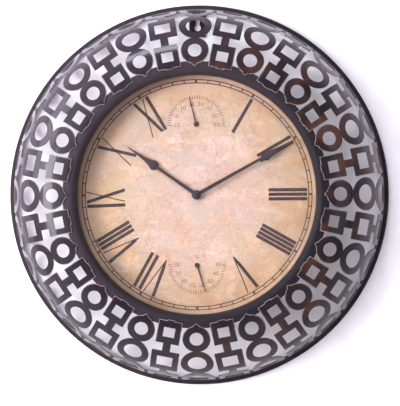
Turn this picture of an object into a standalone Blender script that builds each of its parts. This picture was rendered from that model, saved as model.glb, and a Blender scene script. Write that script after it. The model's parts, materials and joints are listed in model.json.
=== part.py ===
"""Round open-work wall clock with a thermometer and a hygrometer in its dial.

Metres, +Z up. The wall is the plane y = 0 and the dial faces -Y. The origin is the axis of the wall
screw where it seats in the keyhole slot. A depth is a distance in front of the wall, so y = -depth.
A clock angle runs clockwise from 12 as seen from the front, which is a turn about +Y.
"""

import math

import bmesh
import bpy
from mathutils import Matrix, Vector

# Clearance between pieces that touch, and the widest slip that counts as one point
GAP = 0.0003
MERGE_DISTANCE = 0.000001
SMOOTH_ANGLE = math.radians(32)

# Domed rim: chains of rings and chains of square frames, cut from sheet and bent over a quarter round
STRIP_PAIRS = 16
STRIP_THICKNESS = 0.001
RING_DIAMETERS = (0.0328, 0.0388, 0.041)
RING_SIDE_FACETS = (6, 6, 7)
RING_BAND = 0.0084
NECK_WIDTH = 0.0074
RING_LAP = 0.0045
NIB_LENGTH = 0.0032
NIB_TIP_WIDTH = 0.0016
HOOP_TAB_LENGTH = 0.0023
FRAME_WIDTHS = (0.0278, 0.0328, 0.0368)
FRAME_LENGTHS = (0.028, 0.033)
LINK_LENGTHS = (0.0112, 0.0102)
LINK_WIDTH = 0.0093
SIDE_BAR = 0.0072
CROSS_BAR = 0.0082
FRAME_LAP = 0.0013
STUB_LENGTH = 0.0012
LONGEST_FACET = 0.015

# Outer hoop of flat-faced bar
HOOP_DEPTH = 0.006
HOOP_SHOW = 0.0062
HOOP_SEAT = 0.0014
HOOP_EDGE = 0.0008
HOOP_STEPS = 56

# Keyhole hanger plate inside the hoop, with the screw this far below the hoop's inner face
HANGER_WIDTH = 0.02
HANGER_THICKNESS = 0.0015
HANGER_BELOW_SCREW = 0.021
SCREW_DROP = 0.0092
KEYHOLE_RADIUS = 0.004
KEYHOLE_DROP = 0.01
SLOT_WIDTH = 0.0046
SLOT_END_POINTS = 7
KEYHOLE_POINTS = 13

# Bezel spun from sheet: opening, rounded shoulder, flange under the strips, skirt over the pan
OPENING_RADIUS = 0.1398
BEZEL_SHEET = 0.0012
SHOULDER_RADIUS = 0.008
FLANGE_WIDTH = 0.0074
FLANGE_EDGE = 0.0008
SKIRT_LENGTH = 0.02
SHOULDER_POINTS = 4
UNDER_SHOULDER_POINTS = 2
DIAL_STEPS = 40
BORE_STEPS = 12

# Stack on the dial axis
DIAL_FACE_DEPTH = 0.0495
DIAL_THICKNESS = 0.002
PAN_SHEET = 0.0012
WASHER_THICKNESS = 0.001
WASHER_RADIUS = 0.009
HOUSING_DEPTH = 0.0165
HOUSING_WIDTH = 0.058
HOUSING_EDGE = 0.0012
BUSHING_RADIUS = 0.0039
BUSHING_WALL = 0.0011
BUSHING_PROUD = 0.0004
NUT_THICKNESS = 0.0018
NUT_ACROSS_FLATS = 0.011
NUT_SIDES = 6
HOUR_TUBE_WALL = 0.0007
HAND_THICKNESS = 0.0008
HOUR_HAND_RISE = 0.0008
MINUTE_HAND_RISE = 0.0012
CAP_HEIGHT = 0.0021
CAP_RADIUS = 0.0029
CAP_SOCKET_DEPTH = 0.001
CAP_TO_GLASS = 0.0008
GLASS_THICKNESS = 0.003
GASKET_THICKNESS = 0.0014
GASKET_SETBACK = 0.0004
SPACER_SETBACK = 0.0012
SPACER_WALL = 0.0035

# Hands, in their photographed places
HOUR_HAND_LENGTH = 0.0991
HOUR_BULGE_AT = 0.0612
HOUR_BULGE_WIDTH = 0.0116
MINUTE_HAND_LENGTH = 0.134
MINUTE_BULGE_AT = 0.0937
MINUTE_BULGE_WIDTH = 0.0116
MINUTE_ANGLE = math.radians(61.0)
HOUR_ANGLE = math.radians(300.0) + MINUTE_ANGLE / 12
HAND_HUB_RADIUS = 0.0056
HAND_ROOT_WIDTH = 0.0046
HAND_SHAFT_WIDTH = 0.003
HAND_TIP_WIDTH = 0.0009
HUB_POINTS = 9
BULGE_POINTS = 7

# The hands' points: where they leave the bulge, and the share of the width that falls away at first
POINT_START = math.radians(62)
POINT_STEPS = 5
POINT_CROWDING = 1.7
POINT_HOLLOW = 0.62
POINT_HOLLOW_REACH = 0.18

# Thermometer above the centre and hygrometer below it
INSERT_OFFSET = 0.083
CAN_RADIUS = 0.018
CAN_DEPTH = 0.01
CAN_WALL = 0.0008
CAN_STEPS = 16
BEARING_RADIUS = 0.002
BEARING_HEIGHT = 0.0012
POINTER_LENGTH = 0.032
POINTER_WIDTH = 0.0019
POINTER_TIP_WIDTH = 0.0007
POINTER_THICKNESS = 0.0005
POINTER_RISE = 0.0012
POINTER_HUB_RADIUS = 0.003
SPINDLE_RADIUS = 0.0008
SPINDLE_CLEARANCE = 0.0004
SPINDLE_STEPS = 8
POINTER_HUB_POINTS = 8
COIL_TURNS = 2.25
COIL_STRIP = 0.0005
COIL_HEIGHT = 0.0035
COIL_STEPS_PER_TURN = 9
THERMOMETER_ANGLE = math.radians(-14.4)
HYGROMETER_ANGLE = math.radians(163.0)

# Cell, contacts and setting knob at the back of the movement
CELL_RADIUS = 0.0071
CELL_STEPS = 16
CELL_LENGTH = 0.0495
CELL_BUTTON_RADIUS = 0.00275
CELL_BUTTON_LENGTH = 0.001
BAY_WALL = 0.0015
BAY_SIDE_WALL = 0.002
CONTACT_SHEET = 0.0004
CONTACT_WIDTH = 0.008
CONTACT_BOW = 0.0009
KNOB_RADIUS = 0.006
KNOB_THICKNESS = 0.0032
KNOB_ABOVE_SHAFT = 0.012
KNOB_LOBES = 8
POINTS_PER_LOBE = 3
KNOB_LOBE_DEPTH = 0.0003

# The quarter round is as long as the chain of three rings with its lap and its tab
NECK_APOTHEMS = [math.sqrt((diameter / 2) ** 2 - (NECK_WIDTH / 2) ** 2) for diameter in RING_DIAMETERS]
ARC_LENGTH = RING_LAP + 2 * sum(NECK_APOTHEMS) + HOOP_TAB_LENGTH
DOME_RADIUS = ARC_LENGTH / (math.pi / 2)
SPRING_DEPTH = HOOP_DEPTH + GAP
CROWN_RADIUS = OPENING_RADIUS + SHOULDER_RADIUS
DOME_EDGE_RADIUS = CROWN_RADIUS + DOME_RADIUS

# Radii that follow from the rim
HOOP_OUTER_RADIUS = DOME_EDGE_RADIUS + HOOP_SHOW
HOOP_INNER_RADIUS = DOME_EDGE_RADIUS - HOOP_SEAT
SCREW_RADIUS = HOOP_INNER_RADIUS - SCREW_DROP
FLANGE_RADIUS = CROWN_RADIUS + FLANGE_WIDTH
UNDER_STRIP_RADIUS = DOME_RADIUS - STRIP_THICKNESS
FLANGE_DEPTH = SPRING_DEPTH + math.sqrt(UNDER_STRIP_RADIUS**2 - FLANGE_WIDTH**2) - GAP
PAN_OUTER_RADIUS = FLANGE_RADIUS - BEZEL_SHEET - GAP
PAN_INNER_RADIUS = PAN_OUTER_RADIUS - PAN_SHEET
STACK_RADIUS = PAN_INNER_RADIUS - GAP
CAN_HOLE_RADIUS = CAN_RADIUS + GAP
BUSHING_HOLE_RADIUS = BUSHING_RADIUS + GAP
SPINDLE_HOLE_RADIUS = SPINDLE_RADIUS + SPINDLE_CLEARANCE

# Depths from the dial's back towards the wall
DIAL_BACK = DIAL_FACE_DEPTH - DIAL_THICKNESS
PAN_FLOOR_FRONT = DIAL_BACK - GAP
PAN_FLOOR_BACK = PAN_FLOOR_FRONT - PAN_SHEET
WASHER_FRONT = PAN_FLOOR_BACK - GAP
WASHER_BACK = WASHER_FRONT - WASHER_THICKNESS
HOUSING_FRONT = WASHER_BACK - GAP
HOUSING_BACK = HOUSING_FRONT - HOUSING_DEPTH
CAN_FRONT = DIAL_BACK - GAP
CAN_BACK = CAN_FRONT - CAN_DEPTH

# Depths from the dial's face towards the glass
NUT_BACK = DIAL_FACE_DEPTH + GAP
NUT_FRONT = NUT_BACK + NUT_THICKNESS
BUSHING_FRONT = NUT_FRONT + BUSHING_PROUD
HOUR_HAND_BACK = NUT_FRONT + HOUR_HAND_RISE
HOUR_HAND_FRONT = HOUR_HAND_BACK + HAND_THICKNESS
MINUTE_HAND_BACK = HOUR_HAND_FRONT + MINUTE_HAND_RISE
MINUTE_HAND_FRONT = MINUTE_HAND_BACK + HAND_THICKNESS
CAP_BACK = MINUTE_HAND_FRONT + GAP
CAP_FRONT = CAP_BACK + CAP_HEIGHT
GLASS_BACK = CAP_FRONT + CAP_TO_GLASS
GLASS_FRONT = GLASS_BACK + GLASS_THICKNESS
GASKET_BACK = GLASS_FRONT + GAP
GASKET_FRONT = GASKET_BACK + GASKET_THICKNESS
LIP_DEPTH = GASKET_FRONT + GAP
POINTER_BACK = DIAL_FACE_DEPTH + POINTER_RISE
POINTER_FRONT = POINTER_BACK + POINTER_THICKNESS

# Radii of the nested arbors
HOUR_TUBE_RADIUS = BUSHING_RADIUS - BUSHING_WALL - GAP
HOUR_TUBE_BORE = HOUR_TUBE_RADIUS - HOUR_TUBE_WALL
MINUTE_SHAFT_RADIUS = HOUR_TUBE_BORE - GAP


def clear_scene():
    for thing in list(bpy.data.objects):
        bpy.data.objects.remove(thing, do_unlink=True)


def make_material(name, colour, roughness, metallic, transmission=0.0):
    material = bpy.data.materials.new(name)
    material.use_nodes = True
    shader = material.node_tree.nodes["Principled BSDF"]
    shader.inputs["Base Color"].default_value = (*colour, 1.0)
    shader.inputs["Roughness"].default_value = roughness
    shader.inputs["Metallic"].default_value = metallic
    shader.inputs["Transmission Weight"].default_value = transmission
    return material


def mesh_from(name, bm):
    """Closed mesh with its faces pointing out, smooth across shallow edges."""
    bmesh.ops.recalc_face_normals(bm, faces=bm.faces)
    mesh = bpy.data.meshes.new(name)
    bm.to_mesh(mesh)
    bm.free()
    mesh.shade_smooth()
    mesh.set_sharp_from_angle(angle=SMOOTH_ANGLE)
    return mesh


def place(name, mesh, material, parent, location=(0, 0, 0), rotation=(0, 0, 0)):
    thing = bpy.data.objects.new(name, mesh)
    if not mesh.materials:
        mesh.materials.append(material)
    thing.parent = parent
    thing.location = location
    thing.rotation_euler = rotation
    bpy.context.scene.collection.objects.link(thing)
    return thing


def pivot(name, parent, location, rotation=(0, 0, 0)):
    """Empty on a joint's axis, which carries what turns there."""
    empty = bpy.data.objects.new(name, None)
    empty.empty_display_size = 0.01
    empty.parent = parent
    empty.location = location
    empty.rotation_euler = rotation
    bpy.context.scene.collection.objects.link(empty)
    return empty


def boolean(target, tool, operation):
    """Cuts or joins a hidden tool body."""
    tool.hide_render = True
    tool.display_type = "WIRE"
    modifier = target.modifiers.new(operation.title(), "BOOLEAN")
    modifier.operation = operation
    modifier.solver = "EXACT"
    modifier.object = tool


def turned(outline, steps, closed=True):
    """Body turned about the Y axis from (radius, depth) points. An open outline ends on the axis."""
    bm = bmesh.new()
    verts = [bm.verts.new((0, -depth, radius)) for radius, depth in outline]
    following = verts[1:] + verts[:1] if closed else verts[1:]
    edges = [bm.edges.new(pair) for pair in zip(verts, following)]
    bmesh.ops.spin(
        bm,
        geom=verts + edges,
        cent=(0, 0, 0),
        axis=(0, 1, 0),
        angle=2 * math.pi,
        steps=steps,
        use_merge=True,
    )
    bmesh.ops.remove_doubles(bm, verts=bm.verts, dist=MERGE_DISTANCE)
    return bm


def tube(outer, bore, back, front, steps):
    return turned([(bore, back), (outer, back), (outer, front), (bore, front)], steps)


def rod(radius, back, front, steps):
    return turned([(0, back), (radius, back), (radius, front), (0, front)], steps, closed=False)


def plate(loops, back, front):
    """Flat plate facing the viewer: the first (x, z) loop is its edge and the others are its holes."""
    bm = bmesh.new()
    edges = []
    for loop in loops:
        verts = [bm.verts.new((x, -back, z)) for x, z in loop]
        edges += [bm.edges.new(pair) for pair in zip(verts, verts[1:] + verts[:1])]
    bmesh.ops.triangle_fill(bm, use_beauty=True, edges=edges)
    thicken(bm, Vector((0, back - front, 0)))
    return bm


def thicken(bm, offset):
    """Closed body from a flat sheet of faces, swept by the offset."""
    swept = bmesh.ops.extrude_face_region(bm, geom=bm.faces[:])["geom"]
    moved = [item for item in swept if isinstance(item, bmesh.types.BMVert)]
    bmesh.ops.translate(bm, verts=moved, vec=offset)


def circle(radius, count, centre=(0, 0), start=0.0, sweep=2 * math.pi, ends=False):
    """Points (x, z) on a circle, clockwise from the top. With ends, both ends of the sweep are included."""
    spans = count - 1 if ends else count
    angles = [start + sweep * k / spans for k in range(count)]
    return [(centre[0] + radius * math.sin(a), centre[1] + radius * math.cos(a)) for a in angles]


def mirrored(right_side):
    """Closed outline from the points of its right half, top first."""
    return right_side + [(-x, z) for x, z in reversed(right_side) if abs(x) > MERGE_DISTANCE]


def bent_strip(blank_faces):
    """Strip cut flat, thickened and bent over the quarter round.

    A blank point is (across, along), with along measured on the outer face from the crown line.
    """
    bm = bmesh.new()
    for corners in blank_faces:
        bm.faces.new([bm.verts.new((across, along, 0)) for across, along in corners])
    bmesh.ops.remove_doubles(bm, verts=bm.verts, dist=MERGE_DISTANCE)
    thicken(bm, Vector((0, 0, -STRIP_THICKNESS)))
    for vert in bm.verts:
        across, along, lift = vert.co
        tilt = along / DOME_RADIUS
        reach = DOME_RADIUS + lift
        depth = SPRING_DEPTH + reach * math.cos(tilt)
        vert.co = (across, -depth, CROWN_RADIUS + reach * math.sin(tilt))
    return bm


def ring_faces(centre, diameter, side_facets):
    """One ring of a chain, with a flat as wide as the neck towards each neighbour."""
    outer = diameter / 2
    hole = outer - RING_BAND
    neck_angle = math.asin(NECK_WIDTH / 2 / outer)
    sweep = math.pi - 2 * neck_angle
    right = [neck_angle + sweep * k / side_facets for k in range(side_facets + 1)]
    angles = right + [2 * math.pi - angle for angle in reversed(right)]

    def point(radius, angle):
        return (radius * math.sin(angle), centre + radius * math.cos(angle))

    pairs = zip(angles, angles[1:] + angles[:1])
    return [[point(hole, a), point(hole, b), point(outer, b), point(outer, a)] for a, b in pairs]


def bar_face(width, start, stop):
    """Straight bar along the strip between two places."""
    half = width / 2
    return [(-half, start), (half, start), (half, stop), (-half, stop)]


def frame_faces(start, length, width):
    """One square frame of a chain, with the link's corners marked on both cross bars."""
    half = width / 2
    hole = half - SIDE_BAR
    link = LINK_WIDTH / 2
    stop = start + length
    low = start + CROSS_BAR
    high = stop - CROSS_BAR
    spans = 2 if high - low > LONGEST_FACET else 1
    marks = [low + (high - low) * k / spans for k in range(spans + 1)]
    faces = [
        [(-half, start), (-link, start), (link, start), (half, start)]
        + [(half, low), (hole, low), (-hole, low), (-half, low)],
        [(-half, high), (-hole, high), (hole, high), (half, high)]
        + [(half, stop), (link, stop), (-link, stop), (-half, stop)],
    ]
    for a, b in zip(marks, marks[1:]):
        faces.append([(hole, a), (half, a), (half, b), (hole, b)])
        faces.append([(-half, a), (-hole, a), (-hole, b), (-half, b)])
    return faces


def ring_chain():
    """Nib on the bezel, three rings and the tab on the hoop."""
    half_neck = NECK_WIDTH / 2
    half_tip = NIB_TIP_WIDTH / 2
    tip = RING_LAP - NIB_LENGTH
    faces = [[(-half_tip, tip), (half_tip, tip), (half_neck, RING_LAP), (-half_neck, RING_LAP)]]
    along = RING_LAP
    for diameter, apothem, facets in zip(RING_DIAMETERS, NECK_APOTHEMS, RING_SIDE_FACETS):
        faces += ring_faces(along + apothem, diameter, facets)
        along += 2 * apothem
    return faces + [bar_face(NECK_WIDTH, along, ARC_LENGTH)]


def frame_chain():
    """Stub on the bezel, three square frames with links between them and the tab on the hoop."""
    tab_start = ARC_LENGTH - HOOP_TAB_LENGTH
    last_start = FRAME_LAP + sum(FRAME_LENGTHS) + sum(LINK_LENGTHS)
    lengths = (*FRAME_LENGTHS, tab_start - last_start)
    faces = [bar_face(LINK_WIDTH, FRAME_LAP - STUB_LENGTH, FRAME_LAP)]
    along = FRAME_LAP
    for length, width, link in zip(lengths, FRAME_WIDTHS, (*LINK_LENGTHS, HOOP_TAB_LENGTH)):
        faces += frame_faces(along, length, width)
        along += length
        faces.append(bar_face(LINK_WIDTH, along, along + link))
        along += link
    return faces


def make_rim(parent, bronze):
    pitch = 2 * math.pi / STRIP_PAIRS
    chains = (("circle_strip", ring_chain(), 0.0), ("square_strip", frame_chain(), pitch / 2))
    for name, faces, start in chains:
        mesh = mesh_from(name, bent_strip(faces))
        for k in range(STRIP_PAIRS):
            place(f"{name}_{k + 1:02d}", mesh, bronze, parent, rotation=(0, start + k * pitch, 0))


def make_hoop(parent, black):
    outline = [
        (HOOP_INNER_RADIUS, 0),
        (HOOP_OUTER_RADIUS, 0),
        (HOOP_OUTER_RADIUS, HOOP_DEPTH - HOOP_EDGE),
        (HOOP_OUTER_RADIUS - HOOP_EDGE, HOOP_DEPTH),
        (HOOP_INNER_RADIUS, HOOP_DEPTH),
    ]
    place("outer_hoop", mesh_from("outer_hoop", turned(outline, HOOP_STEPS)), black, parent)


def make_hanger(parent, black):
    """Plate welded inside the hoop. Its loops are drawn about the screw and lifted to the dial axis."""
    half = HANGER_WIDTH / 2
    slot = SLOT_WIDTH / 2
    hoop_flat = HOOP_INNER_RADIUS * math.cos(math.pi / HOOP_STEPS)
    top = math.sqrt(hoop_flat**2 - half**2) - GAP
    bottom = SCREW_RADIUS - HANGER_BELOW_SCREW
    edge = [(-half, top), (half, top), (half, bottom), (-half, bottom)]
    mouth = math.asin(slot / KEYHOLE_RADIUS)
    slot_end = circle(slot, SLOT_END_POINTS, (0, SCREW_RADIUS), -math.pi / 2, math.pi, ends=True)
    keyhole_centre = (0, SCREW_RADIUS - KEYHOLE_DROP)
    sweep = 2 * (math.pi - mouth)
    keyhole = circle(KEYHOLE_RADIUS, KEYHOLE_POINTS, keyhole_centre, mouth, sweep, ends=True)
    bm = plate([edge, slot_end + keyhole], 0, HANGER_THICKNESS)
    place("hanger_plate", mesh_from("hanger_plate", bm), black, parent)


def make_bezel(parent, black):
    spring = FLANGE_DEPTH - SHOULDER_RADIUS
    under = FLANGE_DEPTH - BEZEL_SHEET
    under_radius = SHOULDER_RADIUS - BEZEL_SHEET
    centre = (CROWN_RADIUS, spring)
    shoulder = circle(SHOULDER_RADIUS, SHOULDER_POINTS, centre, -math.pi / 2, math.pi / 2, ends=True)
    under_shoulder = circle(under_radius, UNDER_SHOULDER_POINTS, centre, 0, -math.pi / 2, ends=True)
    outline = [
        (OPENING_RADIUS, LIP_DEPTH),
        *shoulder,
        (FLANGE_RADIUS - FLANGE_EDGE, FLANGE_DEPTH),
        (FLANGE_RADIUS, FLANGE_DEPTH - FLANGE_EDGE),
        (FLANGE_RADIUS, FLANGE_DEPTH - SKIRT_LENGTH),
        (FLANGE_RADIUS - BEZEL_SHEET, FLANGE_DEPTH - SKIRT_LENGTH),
        (FLANGE_RADIUS - BEZEL_SHEET, under),
        *under_shoulder,
        (OPENING_RADIUS + BEZEL_SHEET, LIP_DEPTH),
    ]
    place("bezel_ring", mesh_from("bezel_ring", turned(outline, DIAL_STEPS)), black, parent)


def make_glazing(parent, glass, rubber, black):
    gasket = tube(STACK_RADIUS, OPENING_RADIUS + GASKET_SETBACK, GASKET_BACK, GASKET_FRONT, DIAL_STEPS)
    place("lens_gasket", mesh_from("lens_gasket", gasket), rubber, parent)
    lens = rod(STACK_RADIUS, GLASS_BACK, GLASS_FRONT, DIAL_STEPS)
    place("lens_glass", mesh_from("lens_glass", lens), glass, parent)
    bore = OPENING_RADIUS + SPACER_SETBACK
    spacer = tube(bore + SPACER_WALL, bore, DIAL_FACE_DEPTH + GAP, GLASS_BACK - GAP, DIAL_STEPS)
    place("spacer_ring", mesh_from("spacer_ring", spacer), black, parent)


def make_dial(parent, parchment):
    loops = [circle(STACK_RADIUS, DIAL_STEPS), circle(BUSHING_HOLE_RADIUS, BORE_STEPS)]
    for height in (INSERT_OFFSET, -INSERT_OFFSET):
        loops.append(circle(SPINDLE_HOLE_RADIUS, SPINDLE_STEPS, (0, height)))
    bm = plate(loops, DIAL_BACK, DIAL_FACE_DEPTH)
    place("dial_plate", mesh_from("dial_plate", bm), parchment, parent)


def make_pan(parent, black):
    """Pressed cup behind the dial, pierced for the movement and the two inserts."""
    rim = FLANGE_DEPTH - BEZEL_SHEET - GAP
    outline = [
        (0, PAN_FLOOR_BACK),
        (PAN_OUTER_RADIUS, PAN_FLOOR_BACK),
        (PAN_OUTER_RADIUS, rim),
        (PAN_INNER_RADIUS, rim),
        (PAN_INNER_RADIUS, PAN_FLOOR_FRONT),
        (0, PAN_FLOOR_FRONT),
    ]
    mesh = mesh_from("case_pan", turned(outline, DIAL_STEPS, closed=False))
    pan = place("case_pan", mesh, black, parent)
    past = PAN_SHEET
    holes = (
        ("upper_can_hole", INSERT_OFFSET, CAN_HOLE_RADIUS, CAN_STEPS),
        ("lower_can_hole", -INSERT_OFFSET, CAN_HOLE_RADIUS, CAN_STEPS),
        ("bushing_hole", 0, BUSHING_HOLE_RADIUS, BORE_STEPS),
    )
    for name, height, radius, steps in holes:
        bm = rod(radius, PAN_FLOOR_BACK - past, PAN_FLOOR_FRONT + past, steps)
        cutter = place(name, mesh_from(name, bm), black, parent, location=(0, 0, height))
        boolean(pan, cutter, "DIFFERENCE")


def make_movement(parent, black, brass, rubber):
    """Closed movement with its cell bay open to the back, clamped by its threaded bushing."""
    bm = bmesh.new()
    bmesh.ops.create_cube(bm, size=1.0)
    bmesh.ops.scale(bm, verts=bm.verts, vec=(HOUSING_WIDTH, HOUSING_DEPTH, HOUSING_WIDTH))
    bmesh.ops.translate(bm, verts=bm.verts, vec=(0, -(HOUSING_FRONT + HOUSING_BACK) / 2, 0))
    upright = [edge for edge in bm.edges if abs((edge.verts[0].co - edge.verts[1].co).y) > HOUSING_EDGE]
    bmesh.ops.bevel(bm, geom=upright, offset=HOUSING_EDGE, segments=2, profile=0.5, affect="EDGES")
    housing = place("movement_housing", mesh_from("movement_housing", bm), black, parent)
    boolean(housing, make_bay_cutter(parent, black), "DIFFERENCE")
    washer = tube(WASHER_RADIUS, BUSHING_HOLE_RADIUS, WASHER_BACK, WASHER_FRONT, BORE_STEPS)
    place("bushing_washer", mesh_from("bushing_washer", washer), rubber, parent)
    bore = BUSHING_RADIUS - BUSHING_WALL
    bushing = tube(BUSHING_RADIUS, bore, HOUSING_FRONT + GAP, BUSHING_FRONT, BORE_STEPS)
    place("center_bushing", mesh_from("center_bushing", bushing), brass, parent)
    corner_radius = NUT_ACROSS_FLATS / 2 / math.cos(math.pi / NUT_SIDES)
    loops = [circle(corner_radius, NUT_SIDES), circle(BUSHING_HOLE_RADIUS, BORE_STEPS)]
    nut = plate(loops, NUT_BACK, NUT_FRONT)
    place("bushing_nut", mesh_from("bushing_nut", nut), brass, parent)


def bay_height():
    """Middle of the cell bay, measured up from the hand shaft."""
    return -HOUSING_WIDTH / 2 + BAY_SIDE_WALL + GAP + CELL_RADIUS


def make_bay_cutter(parent, black):
    """The space for the cell and its two contacts, run out past the back of the housing."""
    length = CELL_LENGTH + CELL_BUTTON_LENGTH + 2 * (CONTACT_SHEET + CONTACT_BOW) + 4 * GAP
    width = 2 * (CELL_RADIUS + GAP)
    past = BAY_WALL
    bm = bmesh.new()
    bmesh.ops.create_cube(bm, size=1.0)
    bmesh.ops.scale(bm, verts=bm.verts, vec=(length, HOUSING_DEPTH - BAY_WALL + past, width))
    middle = (HOUSING_BACK - past + HOUSING_FRONT - BAY_WALL) / 2
    mesh = mesh_from("cell_bay", bm)
    return place("cell_bay", mesh, black, parent, location=(0, -middle, bay_height()))


def contact_bm(toward):
    """Bowed leaf across the end of the bay: its middle springs towards the cell."""
    half = CONTACT_WIDTH / 2
    bow = toward * CONTACT_BOW
    sheet = toward * CONTACT_SHEET
    near = [(0, -half), (0, -half / 2), (bow, 0), (0, half / 2), (0, half)]
    far = [(x + sheet, z) for x, z in reversed(near)]
    return plate([near + far], -half, half)


def make_cell(parent, shell, steel):
    """Cell lying across the bay, with a leaf at each end."""
    middle = HOUSING_FRONT - BAY_WALL - GAP - CELL_RADIUS
    whole = CELL_LENGTH + CELL_BUTTON_LENGTH
    outline = [
        (0, 0),
        (CELL_RADIUS, 0),
        (CELL_RADIUS, CELL_LENGTH),
        (CELL_BUTTON_RADIUS, CELL_LENGTH),
        (CELL_BUTTON_RADIUS, whole),
        (0, whole),
    ]
    mesh = mesh_from("battery_cell", turned(outline, CELL_STEPS, closed=False))
    mesh.transform(Matrix.Rotation(math.pi / 2, 4, "Z") @ Matrix.Translation((0, whole / 2, 0)))
    slide = pivot("cell_slide", parent, (0, -middle, bay_height()))
    place("battery_cell", mesh, shell, slide)
    reach = whole / 2 + GAP + CONTACT_BOW + CONTACT_SHEET
    for name, side in (("battery_contact_positive", 1), ("battery_contact_negative", -1)):
        mesh = mesh_from(name, contact_bm(-side))
        place(name, mesh, steel, parent, location=(side * reach, -middle, bay_height()))


def make_knob(parent, ivory):
    """Lobed setting knob on the back of the movement."""
    count = KNOB_LOBES * POINTS_PER_LOBE
    edge = []
    for k in range(count):
        angle = 2 * math.pi * k / count
        radius = KNOB_RADIUS + KNOB_LOBE_DEPTH * math.cos(KNOB_LOBES * angle)
        edge.append((radius * math.sin(angle), radius * math.cos(angle)))
    back = HOUSING_BACK - GAP - KNOB_THICKNESS
    bm = plate([edge], back, HOUSING_BACK - GAP)
    spindle = pivot("time_set_pivot", parent, (0, 0, KNOB_ABOVE_SHAFT))
    place("time_set_knob", mesh_from("time_set_knob", bm), ivory, spindle)


def hand_outline(length, bulge_at, bulge_width):
    """Spade hand pointing up: round hub, tapered shaft, round bulge and a long hollow-sided point."""
    root = HAND_ROOT_WIDTH / 2
    shaft = HAND_SHAFT_WIDTH / 2
    bulge = bulge_width / 2
    tip = HAND_TIP_WIDTH / 2
    low_angle = math.pi - math.asin(shaft / bulge)
    arc = circle(bulge, BULGE_POINTS, (0, bulge_at), POINT_START, low_angle - POINT_START, ends=True)
    start_width, start_height = arc[0]
    point = [(tip, length)]
    for k in range(POINT_STEPS - 1, 0, -1):
        share = (k / POINT_STEPS) ** POINT_CROWDING
        steep = POINT_HOLLOW * math.exp(-share / POINT_HOLLOW_REACH)
        even = (1 - POINT_HOLLOW) * (1 - share)
        height = start_height + share * (length - start_height)
        point.append((tip + (start_width - tip) * (steep + even), height))
    hub_angle = math.asin(root / HAND_HUB_RADIUS)
    hub = circle(HAND_HUB_RADIUS, HUB_POINTS, (0, 0), hub_angle, math.pi - hub_angle, ends=True)
    return mirrored(point + arc + hub)


def make_hands(parent, bronze, brass, steel):
    minute = pivot("minute_pivot", parent, (0, 0, 0), (0, MINUTE_ANGLE, 0))
    hour = pivot("hour_pivot", parent, (0, 0, 0), (0, HOUR_ANGLE, 0))
    outline = hand_outline(HOUR_HAND_LENGTH, HOUR_BULGE_AT, HOUR_BULGE_WIDTH)
    bm = plate([outline, circle(HOUR_TUBE_RADIUS + GAP, BORE_STEPS)], HOUR_HAND_BACK, HOUR_HAND_FRONT)
    place("hour_hand", mesh_from("hour_hand", bm), bronze, hour)
    outline = hand_outline(MINUTE_HAND_LENGTH, MINUTE_BULGE_AT, MINUTE_BULGE_WIDTH)
    bm = plate([outline, circle(MINUTE_SHAFT_RADIUS + GAP, BORE_STEPS)], MINUTE_HAND_BACK, MINUTE_HAND_FRONT)
    place("minute_hand", mesh_from("minute_hand", bm), bronze, minute)
    arbor_back = HOUSING_FRONT + GAP
    bm = tube(HOUR_TUBE_RADIUS, HOUR_TUBE_BORE, arbor_back, HOUR_HAND_FRONT + GAP, BORE_STEPS)
    place("hour_tube", mesh_from("hour_tube", bm), brass, hour)
    socket = CAP_BACK + CAP_SOCKET_DEPTH
    bm = rod(MINUTE_SHAFT_RADIUS, arbor_back, socket - GAP, BORE_STEPS)
    place("minute_shaft", mesh_from("minute_shaft", bm), steel, minute)
    bore = MINUTE_SHAFT_RADIUS + GAP
    outline = [
        (0, socket),
        (bore, socket),
        (bore, CAP_BACK),
        (CAP_RADIUS, CAP_BACK),
        (CAP_RADIUS, CAP_FRONT - CAP_HEIGHT / 3),
        (CAP_RADIUS / 2, CAP_FRONT),
        (0, CAP_FRONT),
    ]
    cap = turned(outline, BORE_STEPS, closed=False)
    place("hand_cap_nut", mesh_from("hand_cap_nut", cap), bronze, minute)


def can_bm():
    """Open cup behind the dial with a bearing boss for the spindle."""
    floor = CAN_BACK + CAN_WALL
    outline = [
        (0, CAN_BACK),
        (CAN_RADIUS, CAN_BACK),
        (CAN_RADIUS, CAN_FRONT),
        (CAN_RADIUS - CAN_WALL, CAN_FRONT),
        (CAN_RADIUS - CAN_WALL, floor),
        (BEARING_RADIUS, floor),
        (BEARING_RADIUS, floor + BEARING_HEIGHT),
        (0, floor + BEARING_HEIGHT),
    ]
    return turned(outline, CAN_STEPS, closed=False)


def coil_bm():
    """Bimetal strip wound from the spindle out to the wall of its can."""
    inner = SPINDLE_RADIUS + GAP
    outer = CAN_RADIUS - CAN_WALL - GAP - COIL_STRIP
    steps = round(COIL_TURNS * COIL_STEPS_PER_TURN)
    bm = bmesh.new()
    rails = []
    for k in range(steps + 1):
        angle = 2 * math.pi * COIL_TURNS * k / steps
        radius = inner + (outer - inner) * k / steps
        direction = Vector((math.sin(angle), 0, math.cos(angle)))
        rails.append([bm.verts.new(direction * r) for r in (radius, radius + COIL_STRIP)])
    for (a, b), (c, d) in zip(rails, rails[1:]):
        bm.faces.new((a, b, d, c))
    back = CAN_BACK + CAN_WALL + BEARING_HEIGHT + GAP
    bmesh.ops.translate(bm, verts=bm.verts, vec=(0, -back, 0))
    thicken(bm, Vector((0, -COIL_HEIGHT, 0)))
    return bm


def pointer_outline():
    """Needle tapering from a round hub."""
    start = math.asin(POINTER_WIDTH / 2 / POINTER_HUB_RADIUS)
    hub = circle(POINTER_HUB_RADIUS, POINTER_HUB_POINTS, (0, 0), start, math.pi - start, ends=True)
    return mirrored([(POINTER_TIP_WIDTH / 2, POINTER_LENGTH)] + hub)


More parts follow.
